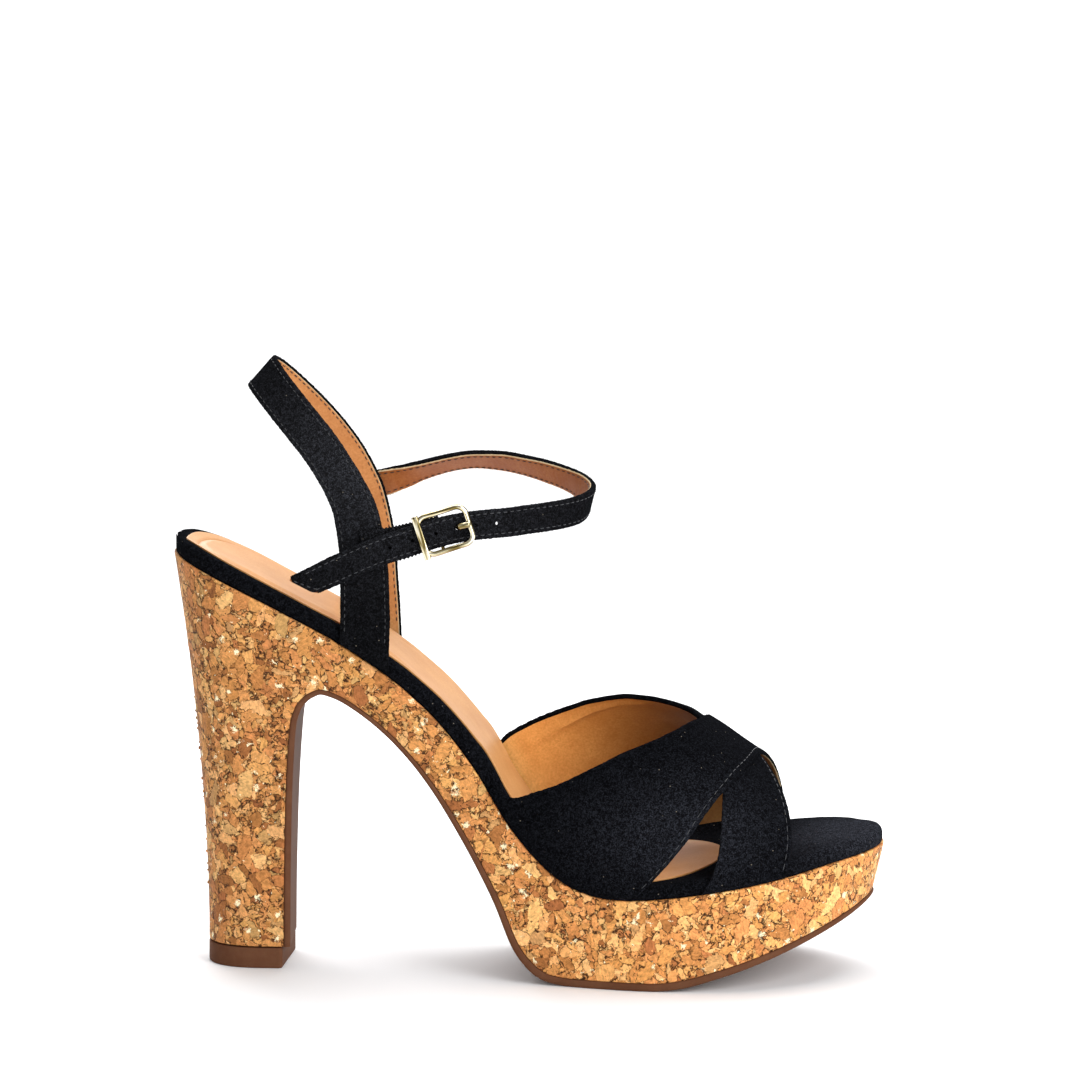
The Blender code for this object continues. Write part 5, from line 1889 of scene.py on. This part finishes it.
    def make_tab(self) -> None:
        """The elastic tab: a gathered ribbon from the quarter round the buckle's hinge bar."""
        thick, fold_gap, back_run, gather = 0.7, 0.15, 10.0, 1.05
        line = TAB.spread(60)
        lean = math.radians(Buckle.lean)
        hinge_y = Buckle.centre[1] + Buckle.hinge_back
        fold = Buckle.hinge_wire / 2 + fold_gap + thick / 2
        turn = np.linspace(-math.pi / 2, math.pi / 2, 16)[1:]
        back = np.linspace(0, back_run, 40)[1:]
        x, z = line["x"][-1], line["z"][-1]
        path = np.concatenate([
            join(line["x"], hinge_y - fold, line["z"]),
            join(x + fold * np.cos(turn) * math.cos(lean), hinge_y + fold * np.sin(turn),
                 z + fold * np.cos(turn) * math.sin(lean)),
            join(x - back * math.cos(lean), hinge_y + fold, z - back * math.sin(lean)),
        ])
        reach = arc_length(path)
        even = np.linspace(0, reach[-1], 500)
        slope = np.arctan2(np.gradient(line["z"]), np.gradient(line["x"]))
        beyond = np.ones(len(path) - len(slope))
        height = np.interp(even, reach, np.concatenate([line["height"], beyond * line["height"][-1]]))
        slope = np.interp(even, reach, np.concatenate([slope, beyond * lean]))
        path = read_along(path, reach, even)
        cross = join(-np.sin(slope), 0.0, np.cos(slope))
        out = unit(np.cross(unit(np.gradient(path, axis=0)), cross))
        ruffled = height * (1 + 0.035 * np.sin(2 * math.pi * even / gather))
        route = Ribbon(path, cross, out, ruffled)

        def relief(s: Array, across: Array) -> Array:
            """Gathers: waves along the tab, deeper at its edges."""
            return 0.13 * np.sin(2 * math.pi * s / gather + 0.1 * across) * (0.4 + np.abs(across) / 6)

        band = Band(thick, 0.2, 14, 4, fray=0.06)
        made = build("gathered_elastic_tab", [route.grid(band, even, relief)],
                     [self.finishes.suede, self.finishes.suede], 60)
        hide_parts("buckle_tab")

    def make(self) -> None:
        """Makes the straps and the tab."""
        self.make_back()
        self.make_ankle()
        self.make_tab()


@dataclass
class Buckle:
    """Small closed buckle: a round wire frame, a square keeper bar, a hinge bar and a prong."""

    finishes: Finishes
    centre: tuple[float, float, float] = (-23.16, -34.0, 128.16)
    lean: float = 18.8
    hinge_back: float = 5.3
    hinge_wire: float = 1.0
    length: float = 14.0
    height: float = 10.8
    gap: float = 0.05  # between the prong and the frame
    corner: float = 2.7
    wire: float = 1.5
    keeper: tuple[float, float, float] = (1.9, 1.7, 12.5)
    hinge_forward: float = 4.5
    prong_width: float = 1.6
    prong_thick: float = 1.2

    def place(self, forward: Array, out: Array, up: Array) -> Array:
        """Points of the leaning buckle's frame in the sandal's."""
        turn = math.radians(self.lean)
        x, y, z = self.centre
        return join(x + forward * math.cos(turn) - up * math.sin(turn), y - out,
                    z + forward * math.sin(turn) + up * math.cos(turn))

    def frame_grid(self) -> Grid:
        """The frame: a circle carried round a rectangle with rounded corners.

        Returns:
            The grid.
        """
        run = np.array([self.length / 2 - self.corner, self.height / 2 - self.corner])
        turn = np.concatenate([
            np.linspace(quarter, quarter + 1, 15) for quarter in range(4)
        ]) * math.pi / 2
        signs = np.repeat(np.array([(1, 1), (-1, 1), (-1, -1), (1, -1)]), 15, axis=0)
        outward = join(np.cos(turn), np.sin(turn))
        path = signs * run + self.corner * outward
        path = np.concatenate([path, path[:1]])
        outward = np.concatenate([outward, outward[:1]])
        around = circle(20)
        radius = self.wire / 2
        plane = path[:, None, :] + outward[:, None, :] * (radius * np.cos(around))[None, :, None]
        points = self.place(plane[..., 0], radius * np.sin(around)[None, :], plane[..., 1])
        return solid(points, (False, False))

    def keeper_grid(self) -> Grid:
        """The keeper bar: a squarish superellipse of exponent 5 with rounded ends.

        Returns:
            The grid.
        """
        wide, thick, tall = self.keeper
        around = circle(32)
        squarish = 2 / 5
        side = np.sign(np.cos(around)) * np.abs(np.cos(around)) ** squarish * wide / 2
        out = np.sign(np.sin(around)) * np.abs(np.sin(around)) ** squarish * thick / 2
        end = np.linspace(0, 1, 7)
        up = np.concatenate([-tall / 2 + 0.5 * end**2, [0.0], tall / 2 - 0.5 * end[::-1] ** 2])
        small = np.sqrt(1 - (1 - end) ** 2) * 0.35 + 0.65
        scale = np.concatenate([small, [1.0], small[::-1]])
        return solid(self.place(
            -self.length / 2 + side * scale[:, None], out * scale[:, None] + self.gap, up[:, None]
        ))

    def wire_grid(self, path: Array, radii: Array, flat: float) -> Grid:
        """A tapering wire along a path in the buckle's frame, its section an ellipse.

        Args:
            path: Points as forward, out and up.
            radii: Half width at each point.
            flat: Half depth as a share of the half width.

        Returns:
            The grid.
        """
        ahead = unit(np.gradient(path, axis=0))
        level = np.array([0.0, 0.0, 1.0]) if abs(ahead[:, 2]).max() < 0.7 else np.array([1.0, 0.0, 0.0])
        side = unit(np.cross(ahead, level))
        lift = unit(np.cross(side, ahead))
        around = circle(24)
        ring = (
            np.cos(around)[None, :, None] * lift[:, None, :]
            + flat * np.sin(around)[None, :, None] * side[:, None, :]
        )
        local = path[:, None, :] + ring * radii[:, None, None]
        return solid(self.place(*np.moveaxis(local, -1, 0)))

    def make(self) -> None:
        """Makes the frame with its bars, and the prong."""
        left = -self.length / 2
        high = self.height / 2 + 0.1
        x = left + self.hinge_forward
        bends = np.array([
            [x, 0.0, high], [x, -self.hinge_back, high], [x, -self.hinge_back, -high], [x, 0.0, -high],
        ])
        reach = arc_length(bends)
        path = read_along(bends, reach, np.linspace(0, reach[-1], 90))
        kernel = np.ones(5) / 5
        inner = join(*(np.convolve(column, kernel, "valid") for column in path.T))
        path = np.concatenate([path[:2], inner, path[-2:]])
        hinge = self.wire_grid(path, np.full(len(path), self.hinge_wire / 2), 1.0)
        frame = build("buckle_frame_and_bars", [self.frame_grid(), self.keeper_grid(), hinge],
                      [self.finishes.gold], 50)
        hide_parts("buckle_frame")
        tip = self.length / 2 + 0.4
        out = self.wire / 2 + self.prong_thick / 2 + self.gap
        knots = np.array([
            [tip - 3.9, out - 2.4, -0.2], [tip - 3.4, out - 0.9, -0.2], [tip - 2.6, out - 0.2, -0.2],
            [tip - 1.5, out, -0.25], [tip, out - 0.1, -0.4],
        ])
        at = np.linspace(0, 4, 60)
        rows = np.arange(5, dtype=float)
        path = join(*(cubic(rows, column, at) for column in knots.T))
        radii = self.prong_width / 2 * np.sqrt(np.clip((4.02 - at) / 0.35, 0, 1))
        prong = build("buckle_prong_polished",
                      [self.wire_grid(path, radii, self.prong_thick / self.prong_width)],
                      [self.finishes.gold], 60)
        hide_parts("buckle_prong")


# --- Studio ---


@dataclass
class Studio:
    """Pale sweep, soft lights and the camera."""

    target: tuple[float, float, float] = (2.35, 0.0, 122.23)  # mm
    distance: float = 1285.0
    elevation: float = 6.0
    azimuth: float = 1.5
    roll: float = 0.5
    lens: float = 150.0
    sensor: float = 36.0
    sky: float = 0.34

    @staticmethod
    def stand(data: bpy.types.ID, right: Array, up: Array, back: Array, place: Any) -> bpy.types.Object:
        """Puts a camera or a light at a place in metres, with its axes given.

        Args:
            data: The camera or the light.
            right: Its axis to the right.
            up: Its axis up.
            back: Its axis backwards.
            place: Where it stands.

        Returns:
            The object.
        """
        axes = np.eye(4)
        axes[:3] = join(right, up, back, place)
        made = bpy.data.objects.new(data.name, data)
        made.matrix_world = Matrix(axes.tolist())
        bpy.context.scene.collection.objects.link(made)
        return made

    def make_camera(self) -> None:
        """The camera, looking along +Y from a little above and rolled slightly."""
        rise, turn, roll = (math.radians(v) for v in (self.elevation, self.azimuth, self.roll))
        back = np.array([
            math.sin(turn) * math.cos(rise), -math.cos(turn) * math.cos(rise), math.sin(rise),
        ])
        right = unit(np.cross(-back, [0.0, 0.0, 1.0]))
        up = np.cross(right, -back)
        tilted_right = right * math.cos(roll) + up * math.sin(roll)
        tilted_up = -right * math.sin(roll) + up * math.cos(roll)
        where = (np.array(self.target) + self.distance * back) * MM
        data = bpy.data.cameras.new("camera")
        data.lens, data.sensor_width = self.lens, self.sensor
        data.clip_start, data.clip_end = 0.05, 50.0
        bpy.context.scene.camera = self.stand(data, tilted_right, tilted_up, back, where)

    def make_sweep(self) -> None:
        """A floor that curves up into a wall behind: a line, a quarter circle and a line."""
        radius, wall, front, back, half = 700.0, 2600.0, -2500.0, 900.0, 2500.0
        turn = np.linspace(0, math.pi / 2, 24)
        depth = np.concatenate([[front], back + radius * np.sin(turn), [back + radius]])
        height = np.concatenate([[0.0], radius * (1 - np.cos(turn)), [wall]])
        across = np.array([-half, half])
        points = join(across, depth[:, None], height[:, None])
        i = np.arange(len(depth) - 1)
        faces = join(2 * i, 2 * i + 1, 2 * i + 3, 2 * i + 2)
        mesh = bpy.data.meshes.new("paper_sweep")
        mesh.from_pydata((points.reshape(-1, 3) * MM).tolist(), [], faces.tolist())
        mesh.shade_smooth()
        made, _, shader = start("white_background_paper", 0.9, Specular_IOR_Level=0.1)
        connect(shader, {"Base Color": linear("#F4F4F5"), "Emission Color": linear("#FFFFFF"),
                         "Emission Strength": 0.04})
        mesh.materials.append(made)
        sweep = bpy.data.objects.new("paper_sweep", mesh)
        bpy.context.scene.collection.objects.link(sweep)

    def make_light(self, name: str, place: tuple[float, float, float], aim: tuple[float, float, float],
                   size: float, power: float) -> None:
        """A square area light at place, aimed at a point, in metres.

        Args:
            name: Name of the light.
            place: Where it stands.
            aim: The point that it faces.
            size: Its side.
            power: Its power in watts.
        """
        data = bpy.data.lights.new(name, "AREA")
        data.size, data.energy = size, power
        back = unit(np.array(place) - np.array(aim))
        side = unit(np.cross([0.0, 0.0, 1.0], back))
        self.stand(data, side, np.cross(back, side), back, place)

    def make(self) -> None:
        """Makes the camera, the sweep, the sky and the lights."""
        self.make_camera()
        self.make_sweep()
        world = bpy.data.worlds.new("studio_sky")
        world.use_nodes = True
        sky = world.node_tree.nodes["Background"].inputs
        sky["Color"].default_value, sky["Strength"].default_value = linear("#FFFFFF"), self.sky
        bpy.context.scene.world = world
        bpy.context.scene.view_settings.view_transform = "Standard"
        self.make_light("key_softbox", (0.8, -0.85, 0.8), (0.03, 0.0, 0.06), 0.7, 9.6)
        self.make_light("low_softbox", (0.7, -1.5, 0.4), (0.0, 0.0, 0.06), 0.9, 9.0)
        self.make_light("arch_softbox", (-0.25, 0.6, 0.5), (0.0, 0.02, 0.0), 0.4, 2.5)
        self.make_light("top_softbox", (0.1, 0.5, 1.45), (0.02, 0.0, 0.0), 1.6, 25.5)


def main() -> None:
    """Makes the sandal around its frame, then the studio."""
    logging.basicConfig(level=logging.INFO, format="%(name)s: %(message)s")
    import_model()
    Studio().make()
    finishes = Finishes.make()
    for part in (SoleUnit, Insole, Vamp, AnkleStraps, Buckle):
        LOG.info("making %s", part.__name__)
        part(finishes).make()


if __name__ == "__main__":
    main()
